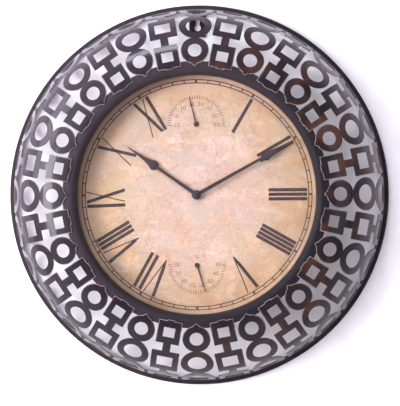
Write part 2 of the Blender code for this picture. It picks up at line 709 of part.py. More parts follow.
def make_insert(name, parent, height, angle, aluminium, bimetal, black):
    """One bimetal insert: can, coil and pointer with its spindle."""
    centre = (0, 0, height)
    place(f"{name}_can", mesh_from(f"{name}_can", can_bm()), aluminium, parent, location=centre)
    place(f"{name}_coil", mesh_from(f"{name}_coil", coil_bm()), bimetal, parent, location=centre)
    carrier = pivot(f"{name}_pivot", parent, centre, (0, angle, 0))
    bm = plate([pointer_outline()], POINTER_BACK, POINTER_FRONT)
    pointer = place(f"{name}_pointer", mesh_from(f"{name}_pointer", bm), black, carrier)
    seat = CAN_BACK + CAN_WALL + BEARING_HEIGHT + GAP
    middle = (POINTER_BACK + POINTER_FRONT) / 2
    mesh = mesh_from(f"{name}_spindle", rod(SPINDLE_RADIUS, seat, middle, SPINDLE_STEPS))
    boolean(pointer, place(f"{name}_spindle", mesh, black, carrier), "UNION")


def main():
    clear_scene()
    bronze = make_material("dark_bronze", (0.075, 0.05, 0.055), 0.34, 0.9)
    black = make_material("blackened_steel", (0.022, 0.018, 0.024), 0.45, 0.6)
    parchment = make_material("parchment_print", (0.78, 0.58, 0.38), 0.7, 0.0)
    glass = make_material("clear_glass", (0.95, 0.97, 0.96), 0.02, 0.0, transmission=1.0)
    rubber = make_material("rubber", (0.02, 0.02, 0.02), 0.8, 0.0)
    brass = make_material("brass", (0.62, 0.46, 0.2), 0.35, 1.0)
    steel = make_material("bright_steel", (0.55, 0.56, 0.58), 0.3, 1.0)
    aluminium = make_material("aluminium", (0.7, 0.7, 0.71), 0.4, 1.0)
    bimetal = make_material("bimetal", (0.6, 0.45, 0.3), 0.4, 1.0)
    ivory = make_material("grey_plastic", (0.4, 0.4, 0.4), 0.5, 0.0)
    shell = make_material("cell_jacket", (0.08, 0.09, 0.11), 0.4, 0.0)
    hand_paint = make_material("hand_paint", (0.03, 0.022, 0.024), 0.45, 0.2)

    axis = pivot("dial_axis", None, (0, 0, -SCREW_RADIUS))
    make_rim(axis, bronze)
    make_hoop(axis, black)
    make_hanger(axis, black)
    make_bezel(axis, black)
    make_glazing(axis, glass, rubber, black)
    make_dial(axis, parchment)
    make_pan(axis, black)
    make_movement(axis, black, brass, rubber)
    make_cell(axis, shell, steel)
    make_knob(axis, ivory)
    make_hands(axis, hand_paint, brass, steel)
    make_insert("thermometer", axis, INSERT_OFFSET, THERMOMETER_ANGLE, aluminium, bimetal, hand_paint)
    make_insert("hygrometer", axis, -INSERT_OFFSET, HYGROMETER_ANGLE, aluminium, bimetal, hand_paint)


main()
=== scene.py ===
"""Looks of the open-work wall clock: fine surfaces, print, finishes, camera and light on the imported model.

Metres, +Z up. The wall is the plane y = 0 and the dial faces -Y, so a depth d in front of the wall is
y = -d. Clock angles run clockwise from 12 as seen from the front.
"""

import json
from math import asin, ceil, cos, exp, hypot, pi, radians, sin, sqrt

import bmesh
import bpy
from mathutils import Matrix, Quaternion, Vector


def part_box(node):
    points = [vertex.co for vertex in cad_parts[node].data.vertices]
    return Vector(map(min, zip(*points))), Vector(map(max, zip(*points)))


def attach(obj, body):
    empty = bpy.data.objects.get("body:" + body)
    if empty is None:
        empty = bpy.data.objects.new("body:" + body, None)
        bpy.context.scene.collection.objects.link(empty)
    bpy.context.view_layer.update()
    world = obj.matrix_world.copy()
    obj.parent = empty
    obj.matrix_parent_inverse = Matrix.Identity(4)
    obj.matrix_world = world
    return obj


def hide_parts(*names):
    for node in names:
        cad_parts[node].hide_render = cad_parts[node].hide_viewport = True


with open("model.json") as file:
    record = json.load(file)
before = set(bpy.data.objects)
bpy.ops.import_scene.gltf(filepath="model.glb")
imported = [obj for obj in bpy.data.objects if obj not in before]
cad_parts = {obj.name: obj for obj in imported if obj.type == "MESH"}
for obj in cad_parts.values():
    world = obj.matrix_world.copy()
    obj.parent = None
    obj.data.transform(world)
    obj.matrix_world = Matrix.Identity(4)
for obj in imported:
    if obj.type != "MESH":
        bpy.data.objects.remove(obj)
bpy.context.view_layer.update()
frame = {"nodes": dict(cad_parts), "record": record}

RECORD = frame["record"]
BODY_OF = {node: body for body, nodes in RECORD["behaviour"]["bodies"].items() for node in nodes}

# Mesh making
SHARP = radians(35)
STEEP = radians(50)
EASED_SHARE = 0.45
WELD = 0.000001
GAP = 0.0003

# Rim strips, as the sheet is cut before it is bent
STRIP_PAIRS = 16
STRIP_THICKNESS = 0.001
STRIP_EDGE = 0.00036
PAINTED, BARE, WORN = 0, 1, 2
WORN_BAND = 0.00065
WORN_REACH = 0.03
RING_DIAMETERS = (0.0328, 0.0388, 0.041)
RING_BAND = 0.0084
RING_SIDE_FACETS = 20
NECK_WIDTH = 0.0074
RING_LAP = 0.0045
NIB_LENGTH = 0.0032
NIB_TIP_WIDTH = 0.0016
HOOP_TAB_LENGTH = 0.0023
FRAME_WIDTHS = (0.0278, 0.0328, 0.0368)
FRAME_LENGTHS = (0.028, 0.033)
LINK_LENGTHS = (0.0112, 0.0102)
LINK_WIDTH = 0.0093
SIDE_BAR = 0.0072
CROSS_BAR = 0.0082
FRAME_LAP = 0.0013
STUB_LENGTH = 0.0012
BEND_STEP = 0.003
HOOP_WIDTH = 0.0076
HOOP_EDGE = 0.0009
# Painted sheen on the hoop's inner edge: its radius and blend
HOOP_SHEEN_RADIUS = 0.2236
SHEEN_BLEND = 0.0014
NECK_APOTHEMS = [sqrt((diameter / 2) ** 2 - (NECK_WIDTH / 2) ** 2) for diameter in RING_DIAMETERS]
ARC_LENGTH = RING_LAP + 2 * sum(NECK_APOTHEMS) + HOOP_TAB_LENGTH
DOME_RADIUS = ARC_LENGTH / (pi / 2)

# Bezel, glass and the rings behind it
OPENING_RADIUS = 0.1398
BEZEL_SHEET = 0.0012
SHOULDER_RADIUS = 0.008
FLANGE_EDGE = 0.0012
PANE_EDGE = 0.0005
GASKET_BORE = 0.1402
GASKET_EDGE = 0.0004
SPACER_WALL = 0.0035
SPACER_EDGE = 0.0003
FINE_STEPS = 180

# Hands and pointers
MINUTE_ANGLE = radians(61.0)
HOUR_ANGLE = radians(300.0) + MINUTE_ANGLE / 12
THERMOMETER_ANGLE = radians(-14.4)
HYGROMETER_ANGLE = radians(163.0)
INSERT_OFFSET = 0.083
HAND_LENGTHS = {"hour_hand": 0.0991, "minute_hand": 0.134}
HAND_BULGES = {"hour_hand": 0.0612, "minute_hand": 0.0937}
HAND_BORES = {"hour_hand": 0.0028, "minute_hand": 0.0018}
HAND_BULGE_WIDTH = 0.0116
HAND_HUB_RADIUS = 0.0056
HAND_ROOT_WIDTH = 0.0046
HAND_SHAFT_WIDTH = 0.003
HAND_TIP_WIDTH = 0.0009
HAND_EDGE = 0.00015
POINT_START = radians(62)
POINT_STEPS = 14
POINT_CROWDING = 1.7
POINT_HOLLOW = 0.62
POINT_HOLLOW_REACH = 0.18
CAP_RADIUS = 0.0029
CAP_SOCKET = 0.001
CAP_EDGE = 0.0012
NEEDLE_LENGTH = 0.032
NEEDLE_THICKNESS = 0.0005
NEEDLE_TIP_WIDTH = 0.0007
NEEDLE_ROOT_WIDTH = 0.0019
NEEDLE_HUB_RADIUS = 0.003
NEEDLE_EDGE = 0.0001
NEEDLE_SPINDLE_RADIUS = 0.0008
NEEDLE_BOSS_RADIUS = 0.0017
NEEDLE_BOSS_HEIGHT = 0.0007
NEEDLE_BOSS_EDGE = 0.0004

# Pieces at the back
HANGER_CORNER = 0.001
HANGER_EDGE = 0.0002
SLOT_WIDTH = 0.0046
KEYHOLE_RADIUS = 0.004
KEYHOLE_DROP = 0.01
PAN_SHEET = 0.0012
PAN_BEND = 0.0016
PAN_RIM_EDGE = 0.0003
CAN_WALL = 0.0008
CAN_EDGE = 0.0006
BEARING_RADIUS = 0.002
BEARING_HEIGHT = 0.0012
HOUSING_CORNER = 0.0012
HOUSING_CHAMFER = 0.0006
BAY_LENGTH = 0.0543
BAY_WIDTH = 0.0148
BAY_WALL = 0.0015
CELL_BUTTON_RADIUS = 0.00275
CELL_BUTTON_LENGTH = 0.001
CELL_EDGE = 0.0005
SLEEVE_LAP = 0.0004
BAND_START_SHARE = 0.78
KNOB_LOBES = 8
KNOB_LOBE_STEPS = 12
KNOB_LOBE_DEPTH = 0.0003
KNOB_EDGE = 0.0004
KNOB_RING_RADII = (0.0074, 0.0076, 0.0084, 0.0086)
KNOB_RING_LIFTS = (0.0, 0.0005, 0.0005, 0.0)
BUSHING_WALL = 0.0011
TUBE_WALL = 0.0007
TURNING_EDGE = 0.0002

# Print on the dial, with the numerals' slips in degrees
INK_THICKNESS = 0.00004
INK_LIFT = 0.00001
TRACK_RADII = (0.1318, 0.1356)
RAIL_WIDTH = 0.0012
TICK_WIDTH = 0.0014
FIVE_WIDTH = 0.0026
NUMERAL_FOOT = 0.0846
NUMERAL_TOP = 0.1299
THICK_STROKE = 0.0039
THIN_STROKE = 0.0013
ONE_PITCH = {2: 0.007, 3: 0.0053, 4: 0.0048}
FIVE_GLYPH_WIDTH = 0.0132
TEN_TOP_WIDTH = 0.0118
TEN_FOOT_WIDTH = 0.0136
GLYPH_GAP = 0.005
FIVE_TIP_WIDTH = 0.0011
FIVE_POINT_SHARE = 0.24
NUMERAL_SLIPS = {1: 0.4, 4: -0.4, 5: -0.3, 7: -0.8, 8: -1.0, 9: -2.0, 10: -1.2, 11: -0.6}
NUMERALS = {1: "I", 2: "II", 3: "III", 4: "IIII", 5: "V", 7: "VII", 8: "VIII", 9: "IX", 10: "X", 11: "XI"}
SCALE_RADII = (0.03, 0.0342)
SCALE_TICK_WIDTH = 0.0009
LONG_TICK_EXTRA = 0.0008
SCALE_NUMBERS = 8
TICKS_PER_NUMBER = 5
SCALE_NUMBER_RADIUS = 0.0243
SCALE_SWEEP = radians(184)
SCALE_TEXT = 0.0072
UNIT_TEXT = 0.006
UNIT_OFFSET = 0.01

# Camera, from the photograph's vanishing and sizes
CAMERA_RIGHT = 0.087
CAMERA_BELOW = 0.005
CAMERA_DISTANCE = 1.9
CAMERA_LENS = 139.4
CAMERA_ROLL = radians(-0.35)
AIM_RIGHT = 0.0016
AIM_BELOW = 0.0098

# Backdrop and lights
WALL_BEHIND = 0.0006
WALL_TOP = 3
FLOOR_LEVEL = -1.6
STAGE_HALF_WIDTH = 4
STAGE_FRONT = -5
ROOM_COLOUR = (0.95, 0.945, 1.0, 1.0)
ROOM_STRENGTH = 0.34
LIGHTS = (
    # name, direction from the dial, distance, size, power, colour
    ("window", (-0.75, -0.66, 0.04), 3.0, (0.9, 1.2), 85, (1.0, 0.985, 0.985)),
    ("skylight", (-0.24, -0.64, 0.7), 3.0, (0.9, 0.42), 40, (0.9, 0.94, 1.0)),
    ("graze", (-0.8, -0.34, 0.32), 2.6, (1.2, 1.6), 52, (0.95, 0.965, 1.0)),
    ("room", (-0.45, -0.82, 0.15), 3.4, (1.6, 1.9), 20, (1.0, 0.98, 0.985)),
    ("side", (0.62, -0.76, 0.1), 3.4, (1.6, 2.0), 15, (1.0, 0.97, 0.97)),
    ("back_fill", (0.4, 0.85, 0.35), 1.8, (1.4, 1.4), 22, (1.0, 1.0, 1.0)),
)


def node_middle(node):
    low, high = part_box(node)
    return (low + high) / 2


def depths(node):
    """How far in front of the wall a node starts and ends."""
    low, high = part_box(node)
    return -high.y, -low.y


def outer_radius(node):
    low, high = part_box(node)
    return (high.z - low.z) / 2


ORIGIN = Vector((0, 0, 0))
AXIS = node_middle("lens_glass")
AXIS.y = 0
HOOP_DEPTH = depths("outer_hoop")[1]
SPRING_DEPTH = HOOP_DEPTH + GAP
CROWN_RADIUS = OPENING_RADIUS + SHOULDER_RADIUS


def tone(red, green, blue):
    """Linear colour from one seen on a screen, 0 to 255."""

    def linear(level):
        share = level / 255
        return share / 12.92 if share <= 0.04045 else ((share + 0.055) / 1.055) ** 2.4

    return (linear(red), linear(green), linear(blue), 1.0)


class Finish:
    """A Principled material, with its texture nodes made by short calls."""

    def __init__(self, name, **sockets):
        self.material = bpy.data.materials.new(name)
        self.material.use_nodes = True
        self.tree = self.material.node_tree
        self.shader = self.tree.nodes["Principled BSDF"]
        self.place = self.node("ShaderNodeTexCoord").outputs["Object"]
        for socket, value in sockets.items():
            self.shader.inputs[socket.replace("_", " ")].default_value = value

    def node(self, kind, **inputs):
        made = self.tree.nodes.new(kind)
        for name, value in inputs.items():
            self.feed(made.inputs[name.replace("_", " ")], value)
        return made

    def feed(self, socket, value):
        if isinstance(value, bpy.types.NodeSocket):
            self.tree.links.new(value, socket)
        else:
            socket.default_value = value

    def set(self, socket, value):
        self.feed(self.shader.inputs[socket], value)

    def stretched(self, scale):
        return self.node("ShaderNodeMapping", Vector=self.place, Scale=scale).outputs["Vector"]

    def noise(self, scale, detail=4.0, roughness=0.55, distortion=0.0, vector=None):
        settings = {"Scale": scale, "Detail": detail, "Roughness": roughness, "Distortion": distortion}
        return self.node("ShaderNodeTexNoise", Vector=vector or self.place, **settings).outputs["Fac"]

    def ramp(self, factor, *stops):
        """Colour from (position, colour) stops, with each colour as seen on a screen."""
        made = self.node("ShaderNodeValToRGB", Fac=factor)
        elements = made.color_ramp.elements
        while len(elements) < len(stops):
            elements.new(1.0)
        for element, (position, colour) in zip(elements, stops):
            element.position = position
            element.color = tone(*colour)
        return made.outputs["Color"]

    def band(self, factor, low, high, start=0.0, stop=1.0):
        """A number that runs from start to stop while the factor runs from low to high."""
        ends = {"From_Min": low, "From_Max": high, "To_Min": start, "To_Max": stop}
        return self.node("ShaderNodeMapRange", Value=factor, **ends).outputs["Result"]

    def mix(self, factor, first, second):
        made = self.tree.nodes.new("ShaderNodeMix")
        made.data_type = "RGBA"
        colours = [socket for socket in made.inputs if socket.type == "RGBA"]
        self.feed(made.inputs["Factor"], factor)
        self.feed(colours[0], first)
        self.feed(colours[1], second)
        return next(socket for socket in made.outputs if socket.type == "RGBA")

    def paint(self, factor, *stops):
        """Base colour from a ramp."""
        self.set("Base Color", self.ramp(factor, *stops))

    def cover(self, share, colour):
        """Lays a share of a colour, as seen on a screen, over the base colour."""
        below = self.shader.inputs["Base Color"].links[0].from_socket
        self.set("Base Color", self.mix(share, below, tone(*colour)))

    def operate(self, kind, operation, first, second):
        made = self.tree.nodes.new(kind)
        made.operation = operation
        self.feed(made.inputs[0], first)
        self.feed(made.inputs[1], second)
        return made.outputs

    def math(self, operation, first, second=0.0):
        return self.operate("ShaderNodeMath", operation, first, second)["Value"]

    def times(self, first, second):
        return self.math("MULTIPLY", first, second)

    def vector_math(self, operation, first, second=(0.0, 0.0, 0.0)):
        return self.operate("ShaderNodeVectorMath", operation, first, second)

    def from_axis(self):
        """Distance from the dial axis."""
        offset = self.vector_math("SUBTRACT", self.place, AXIS)["Vector"]
        flat = self.vector_math("MULTIPLY", offset, (1.0, 0.0, 1.0))["Vector"]
        return self.vector_math("LENGTH", flat)["Value"]

    def toward(self, right, up):
        """How far a point lies from the dial axis in a direction across the dial."""
        offset = self.vector_math("SUBTRACT", self.place, AXIS)["Vector"]
        direction = Vector((right, 0.0, up)).normalized()
        return self.vector_math("DOT_PRODUCT", offset, direction)["Value"]

    def rough(self, noise, low, high):
        self.set("Roughness", self.band(noise, 0.3, 0.7, low, high))

    def bump(self, height, distance, strength):
        made = self.node("ShaderNodeBump", Height=height, Distance=distance, Strength=strength)
        self.set("Normal", made.outputs["Normal"])


def rim_bronze():
    """Smoky bronze, rusty at the right; painted sheen makes it paler towards the window, greyer at the
    right, silvery by the hoop.
    """
    finish = Finish(
        "rim_bronze", Metallic=0.1, Specular_IOR_Level=0.13, Coat_Weight=0.26, Coat_Roughness=0.11
    )
    distance = finish.from_axis()
    rusty = finish.band(finish.toward(0.95, 0.1), -0.12, 0.12, -0.2, 0.04)
    rusty = finish.times(rusty, finish.band(distance, 0.18, 0.2, 1.0, 0.3))
    patches = finish.math("ADD", finish.noise(27.0, 4.0, 0.55, 0.5), rusty)
    finish.paint(patches, (0.42, (26, 17, 26)), (0.53, (35, 22, 26)), (0.66, (70, 41, 33)))
    # Painted sheen: a paler colour laid on the side that faces the window light, over the outer rows.
    lit_side = finish.band(finish.toward(-0.62, 0.78), -0.02, 0.17)
    pale_wear_and_light = finish.times(lit_side, finish.band(distance, 0.165, 0.2, 0.1, 0.36))
    finish.cover(pale_wear_and_light, (84, 70, 84))
    # Painted reflection: a grey sheen laid on the outer rows at the right.
    painted_grey_sheen = finish.band(finish.toward(1.0, 0.15), 0.1, 0.19)
    painted_grey_sheen = finish.times(painted_grey_sheen, finish.band(distance, 0.18, 0.2, 0.0, 0.3))
    finish.cover(painted_grey_sheen, (112, 100, 108))
    # Painted reflection: a silvery sheen laid next to the hoop, strongest towards the window light.
    springing = finish.band(distance, 0.207, 0.22)
    painted_grazing_sheen = finish.times(springing, finish.band(lit_side, 0.0, 1.0, 0.35, 0.8))
    finish.cover(painted_grazing_sheen, (138, 134, 146))
    grime = finish.band(finish.noise(160.0, 5.0, 0.65), 0.35, 0.75, 0.0, 0.35)
    finish.cover(grime, (30, 23, 30))
    finish.rough(finish.noise(60.0, 5.0, 0.6), 0.34, 0.5)
    finish.bump(finish.noise(700.0, 3.0, 0.6), 0.00006, 0.35)
    return finish.material


def bare_edge():
    """Edge of the sheet, rubbed bright where the strips lie over the bezel."""
    finish = Finish("bare_edge", Metallic=0.2)
    wear = finish.noise(220.0, 4.0, 0.6)
    bright = finish.ramp(wear, (0.3, (104, 92, 94)), (0.62, (196, 184, 186)))
    dull = finish.ramp(wear, (0.3, (60, 48, 54)), (0.7, (120, 100, 102)))
    finish.set("Base Color", finish.mix(finish.band(finish.from_axis(), 0.16, 0.178), bright, dull))
    finish.rough(wear, 0.5, 0.32)
    finish.bump(finish.noise(900.0, 2.0), 0.00005, 0.4)
    return finish.material


def black_paint(name, colour, speckle, painted_light_share, wear_and_sheen=0.0):
    """Satin black, with painted light: paler towards the window, and a pale painted sheen inside a radius
    where one is given.
    """
    finish = Finish(name, Specular_IOR_Level=0.15)
    cloud = finish.noise(24.0, 4.0)
    finish.paint(cloud, (0.3, [level * 0.82 for level in colour]), (0.7, colour))
    # Painted light: a paler colour laid on the side towards the window.
    pale_wear_and_light = finish.band(finish.toward(-1.0, 0.4), -0.13, 0.15, 0.0, painted_light_share)
    finish.cover(pale_wear_and_light, (86, 74, 84))
    # Painted highlight: a pale sheen inside the radius, strongest towards the window.
    if wear_and_sheen:
        reach = SHEEN_BLEND / 2
        sheen_band = finish.band(finish.from_axis(), wear_and_sheen - reach, wear_and_sheen + reach, 1.0, 0.0)
        painted_highlight = finish.band(finish.toward(-0.62, 0.78), -0.22, 0.2, 0.12, 0.6)
        finish.cover(finish.times(sheen_band, painted_highlight), (156, 151, 162))
    specks = finish.band(finish.noise(900.0, 2.0, 0.5), 0.62, 0.72, 0.0, speckle)
    finish.cover(specks, (110, 96, 104))
    finish.rough(finish.noise(90.0, 4.0), 0.5, 0.66)
    finish.bump(finish.noise(1100.0, 2.0), 0.00005, 0.4)
    return finish.material


def parchment():
    """Old map paper: pink and worn in the middle, golden and stained towards the border, with painted light
    and shade near the edge.
    """
    finish = Finish("parchment_print", Specular_IOR_Level=0.25)
    distance = finish.from_axis()
    warped = finish.math("ADD", distance, finish.band(finish.noise(17.0, 4.0), 0.2, 0.8, -0.04, 0.04))
    finish.paint(
        finish.band(warped, 0.05, 0.15),
        (0.0, (150, 134, 128)),
        (0.35, (149, 133, 123)),
        (0.66, (148, 130, 113)),
        (0.82, (151, 130, 109)),
        (1.0, (139, 112, 89)),
    )
    border = finish.band(distance, 0.045, 0.11)
    golden = finish.band(finish.noise(15.0, 6.0, 0.62, 0.7), 0.5, 0.64, 0.0, 0.5)
    finish.cover(finish.times(golden, border), (180, 150, 102))
    inland = finish.math("SUBTRACT", 1.0, border)
    rosy = finish.band(finish.noise(21.0, 5.0, 0.6, 0.5), 0.46, 0.68, 0.0, 0.5)
    finish.cover(finish.times(rosy, inland), (182, 146, 142))
    stains = finish.band(finish.noise(34.0, 6.0, 0.7, 0.6), 0.48, 0.7, 0.0, 0.6)
    finish.cover(stains, (168, 126, 92))
    across = finish.stretched((1.0, 1.0, 2.2))
    bleached = finish.band(finish.noise(26.0, 5.0, 0.65, 0.3, across), 0.54, 0.76, 0.0, 0.4)
    finish.cover(bleached, (204, 188, 180))
    lower_right = finish.toward(0.75, -0.65)
    ochre = finish.band(finish.noise(19.0, 6.0, 0.7, 0.8), 0.46, 0.58, 0.0, 0.72)
    ochre = finish.times(ochre, finish.band(distance, 0.075, 0.125))
    ochre = finish.times(ochre, finish.band(lower_right, -0.05, 0.08))
    finish.cover(ochre, (138, 102, 62))
    blush = finish.band(finish.noise(58.0, 4.0, 0.6, 0.4), 0.52, 0.72, 0.0, 0.45)
    finish.cover(blush, (194, 148, 138))
    for scale, strength in ((19.0, 0.42), (31.0, 0.34)):
        coast = finish.math("ABSOLUTE", finish.math("SUBTRACT", finish.noise(scale, 7.0, 0.6, 0.4), 0.5))
        finish.cover(finish.band(coast, 0.003, 0.014, strength, 0.0), (132, 90, 70))
    mottle = finish.band(finish.noise(240.0, 5.0, 0.75), 0.42, 0.62, 0.0, 0.44)
    finish.cover(mottle, (150, 116, 98))
    upright = finish.stretched((1.0, 1.0, 0.1))
    weave = finish.band(finish.noise(150.0, 2.0, 0.5, 0.0, upright), 0.5, 0.7, 0.0, 0.22)
    finish.cover(weave, (160, 130, 120))
    foxing = finish.band(finish.noise(210.0, 3.0, 0.6), 0.66, 0.75, 0.0, 0.4)
    finish.cover(foxing, (126, 82, 58))
    level = finish.stretched((0.12, 1.0, 1.0))
    creases = finish.band(finish.noise(90.0, 2.0, 0.5, 0.0, level), 0.6, 0.7, 0.0, 0.26)
    finish.cover(creases, (144, 104, 84))
    # Painted shade: the paper laid darker towards the right.
    painted_right_shade = finish.band(finish.toward(1.0, 0.0), 0.02, 0.13, 0.0, 0.16)
    finish.cover(painted_right_shade, (112, 84, 62))
    # Painted light: a lighter colour laid at the top left inside the bezel, where its shadow falls.
    painted_fill_light = finish.band(finish.toward(-0.6, 0.8), 0.0, 0.1, 0.0, 0.42)
    painted_fill_light = finish.times(painted_fill_light, finish.band(distance, 0.1, 0.134))
    finish.cover(painted_fill_light, (212, 166, 146))
    # Painted light: a lighter margin at the lower right.
    margin = finish.band(distance, 0.1335, 0.135)
    lit = finish.band(lower_right, -0.05, 0.06, 0.0, 0.1)
    finish.cover(finish.times(margin, lit), (192, 166, 146))
    # Partly brown paper and partly painted shade: a darker margin at the left and top.
    browned_and_shaded = finish.band(finish.toward(-0.8, 0.6), -0.02, 0.09, 0.0, 0.2)
    finish.cover(finish.times(margin, browned_and_shaded), (96, 54, 48))
    finish.rough(finish.noise(120.0, 4.0), 0.55, 0.75)
    finish.bump(finish.noise(520.0, 5.0, 0.7), 0.00004, 0.3)
    return finish.material


def ink(name, dark, pale_wear_and_light, wear):
    finish = Finish(name, Specular_IOR_Level=0.3)
    wear_and_sheen = finish.noise(260.0, 5.0, 0.7)
    finish.paint(wear_and_sheen, (0.5 - wear, pale_wear_and_light), (0.5, dark))
    finish.rough(wear_and_sheen, 0.6, 0.45)
    finish.bump(wear_and_sheen, 0.00002, 0.3)
    return finish.material


def hand_paint():
    finish = Finish("hand_paint", Specular_IOR_Level=0.2)
    cloud = finish.noise(130.0, 4.0)
    finish.paint(cloud, (0.3, (32, 19, 23)), (0.7, (48, 33, 37)))
    finish.rough(cloud, 0.4, 0.55)
    finish.bump(finish.noise(1300.0, 2.0), 0.00003, 0.3)
    return finish.material


def clear_glass():
    finish = Finish("clear_glass", Transmission_Weight=1.0, IOR=1.46, Base_Color=(0.97, 0.985, 0.98, 1.0))
    smears = finish.noise(7.0, 5.0, 0.6, 1.2)
    finish.set("Roughness", finish.band(smears, 0.4, 0.8, 0.0, 0.03))
    return finish.material


def plain_finish(name, dark, light, scale, rough, metallic=0.0, grain=0.00004):
    """Moulded, turned or drawn stock with a slow change of tone and a fine grain."""
    finish = Finish(name, Metallic=metallic)
    cloud = finish.noise(scale, 4.0)
    finish.paint(cloud, (0.32, dark), (0.68, light))
    finish.rough(cloud, rough - 0.07, rough + 0.07)
    finish.bump(finish.noise(1000.0, 2.0), grain, 0.4)
    return finish.material


def placed(name, data):
    """Object that enters the scene."""
    made = bpy.data.objects.new(name, data)
    bpy.context.scene.collection.objects.link(made)
    return made


def finish_mesh(name, bm, materials):
    """Mesh object with its faces turned out, smooth but for its sharp edges."""
    bmesh.ops.recalc_face_normals(bm, faces=bm.faces)
    mesh = bpy.data.meshes.new(name)
    bm.to_mesh(mesh)
    bm.free()
    mesh.shade_smooth()
    mesh.set_sharp_from_angle(angle=SHARP)
    for material in materials:
        mesh.materials.append(material)
    return placed(name, mesh)


def stand_for(node, name, bm, *materials):
    """Makes a piece that takes the node's place and body."""
    piece = finish_mesh(name, bm, materials)
    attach(piece, BODY_OF[node])
    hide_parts(node)
    return piece


def dress(material, *nodes):
    for node in nodes:
        materials = frame["nodes"][node].data.materials
        materials.clear()
        materials.append(material)


def rounded(outline, radius, steps=3):
    """Closed outline with its corners eased, by less where its sides are short."""
    eased = []
    for k, corner in enumerate(outline):
        here = Vector(corner)
        before = Vector(outline[k - 1]) - here
        after = Vector(outline[(k + 1) % len(outline)]) - here
        reach = min(radius, before.length * EASED_SHARE, after.length * EASED_SHARE)
        start = here + before.normalized() * reach
        end = here + after.normalized() * reach
        for i in range(steps + 1):
            share = i / steps
            eased.append(start * (1 - share) ** 2 + here * 2 * share * (1 - share) + end * share**2)
    return eased


def weld(bm):
    bmesh.ops.remove_doubles(bm, verts=bm.verts, dist=WELD)


def walls(bm, loops):
    """Joins each loop of corners to the next."""
    for this, following in zip(loops, loops[1:]):
        for k in range(len(this)):
            j = (k + 1) % len(this)
            bm.faces.new((this[k], this[j], following[j], following[k]))


def turned(outline, steps=FINE_STEPS, centre=AXIS):
    """Closed (radius, depth) outline turned about an axis through the centre, along Y."""
    bm = bmesh.new()
    rings = []
    for k in range(steps):
        angle = 2 * pi * k / steps
        side, up = sin(angle), cos(angle)
        rings.append([bm.verts.new((centre.x + r * side, -d, centre.z + r * up)) for r, d in outline])
    walls(bm, rings + rings[:1])
    weld(bm)
    stray = [edge for edge in bm.edges if not edge.link_faces]
    bmesh.ops.delete(bm, geom=stray, context="EDGES")
    return bm


def spun_profile(points, radius):
    """Profile that starts and ends on the axis, with its other corners eased."""
    steps = 3
    eased = rounded(points, radius, steps)
    return [points[0]] + eased[steps + 1 : -(steps + 1)] + [points[-1]]


def arc(radius, count, centre, start, sweep):
    """Points (x, z) along an arc with both its ends, clockwise from the top."""
    angles = [start + sweep * k / (count - 1) for k in range(count)]
    return [(centre[0] + radius * sin(a), centre[1] + radius * cos(a)) for a in angles]


def circle(radius, count, centre=(0, 0)):
    return arc(radius, count + 1, centre, 0.0, 2 * pi)[:-1]


def rectangle(left, right, low, high):
    return [(left, low), (right, low), (right, high), (left, high)]


def thicken(bm, offset):
    swept = bmesh.ops.extrude_face_region(bm, geom=bm.faces[:])["geom"]
    lifted = [item for item in swept if isinstance(item, bmesh.types.BMVert)]
    bmesh.ops.translate(bm, verts=lifted, vec=offset)


def ease_edges(bm, width):
    """Rounds the edges where faces meet steeply."""
    bmesh.ops.recalc_face_normals(bm, faces=bm.faces)
    steep = [edge for edge in bm.edges if edge.is_manifold and edge.calc_face_angle() > STEEP]
    bmesh.ops.bevel(bm, geom=steep, offset=width, segments=2, profile=0.6, affect="EDGES")


def loop_at(bm, points, depth, centre=AXIS):
    """Corners at (x, z) points round a centre, at one depth."""
    return [bm.verts.new((centre.x + x, -depth, centre.z + z)) for x, z in points]


def fill(bm, loops):
    """Closes the space inside the first loop of corners and outside the others."""
    edges = []
    for verts in loops:
        for pair in zip(verts, verts[1:] + verts[:1]):
            edges.append(bm.edges.get(pair) or bm.edges.new(pair))
    bmesh.ops.triangle_fill(bm, use_beauty=True, edges=edges)


def plate(loops, back, front, edge):
    """Flat plate facing the viewer, from an (x, z) outline and its holes, with eased edges."""
    bm = bmesh.new()
    fill(bm, [loop_at(bm, loop, back, ORIGIN) for loop in loops])
    thicken(bm, Vector((0, back - front, 0)))
    ease_edges(bm, edge)
    return bm


def cut_across(bm, y):
    everything = bm.verts[:] + bm.edges[:] + bm.faces[:]
    bmesh.ops.bisect_plane(bm, geom=everything, plane_co=(0, y, 0), plane_no=(0, 1, 0))


def moved(bm, centre, angle=0.0):
    """Turns a body clockwise about Y and carries it to its centre over the wall."""
    place = Matrix.Translation((centre.x, 0, centre.z)) @ Matrix.Rotation(angle, 4, "Y")
    bmesh.ops.transform(bm, matrix=place, verts=bm.verts)
    return bm


def ring_faces(centre, diameter):
    """Faces round a flat ring, whose outer edge is straight at both necks."""
    outer = diameter / 2
    hole = outer - RING_BAND
    neck_angle = asin(NECK_WIDTH / 2 / outer)
    sweep = pi - 2 * neck_angle
    right = [neck_angle + sweep * k / RING_SIDE_FACETS for k in range(RING_SIDE_FACETS + 1)]
    right.append(pi)
    angles = right + [2 * pi - angle for angle in reversed(right[:-1])] + [2 * pi]

    def point(radius, angle, flat):
        if flat and angle in (pi, 2 * pi):
            radius = outer * cos(neck_angle)
        return (radius * sin(angle), centre + radius * cos(angle))

    pairs = zip(angles, angles[1:] + angles[:1])
    return [
        [point(hole, a, False), point(hole, b, False), point(outer, b, True), point(outer, a, True)]
        for a, b in pairs
    ]


def bar_face(width, start, stop):
    half = width / 2
    return [(-half, start), (0, start), (half, start), (half, stop), (0, stop), (-half, stop)]


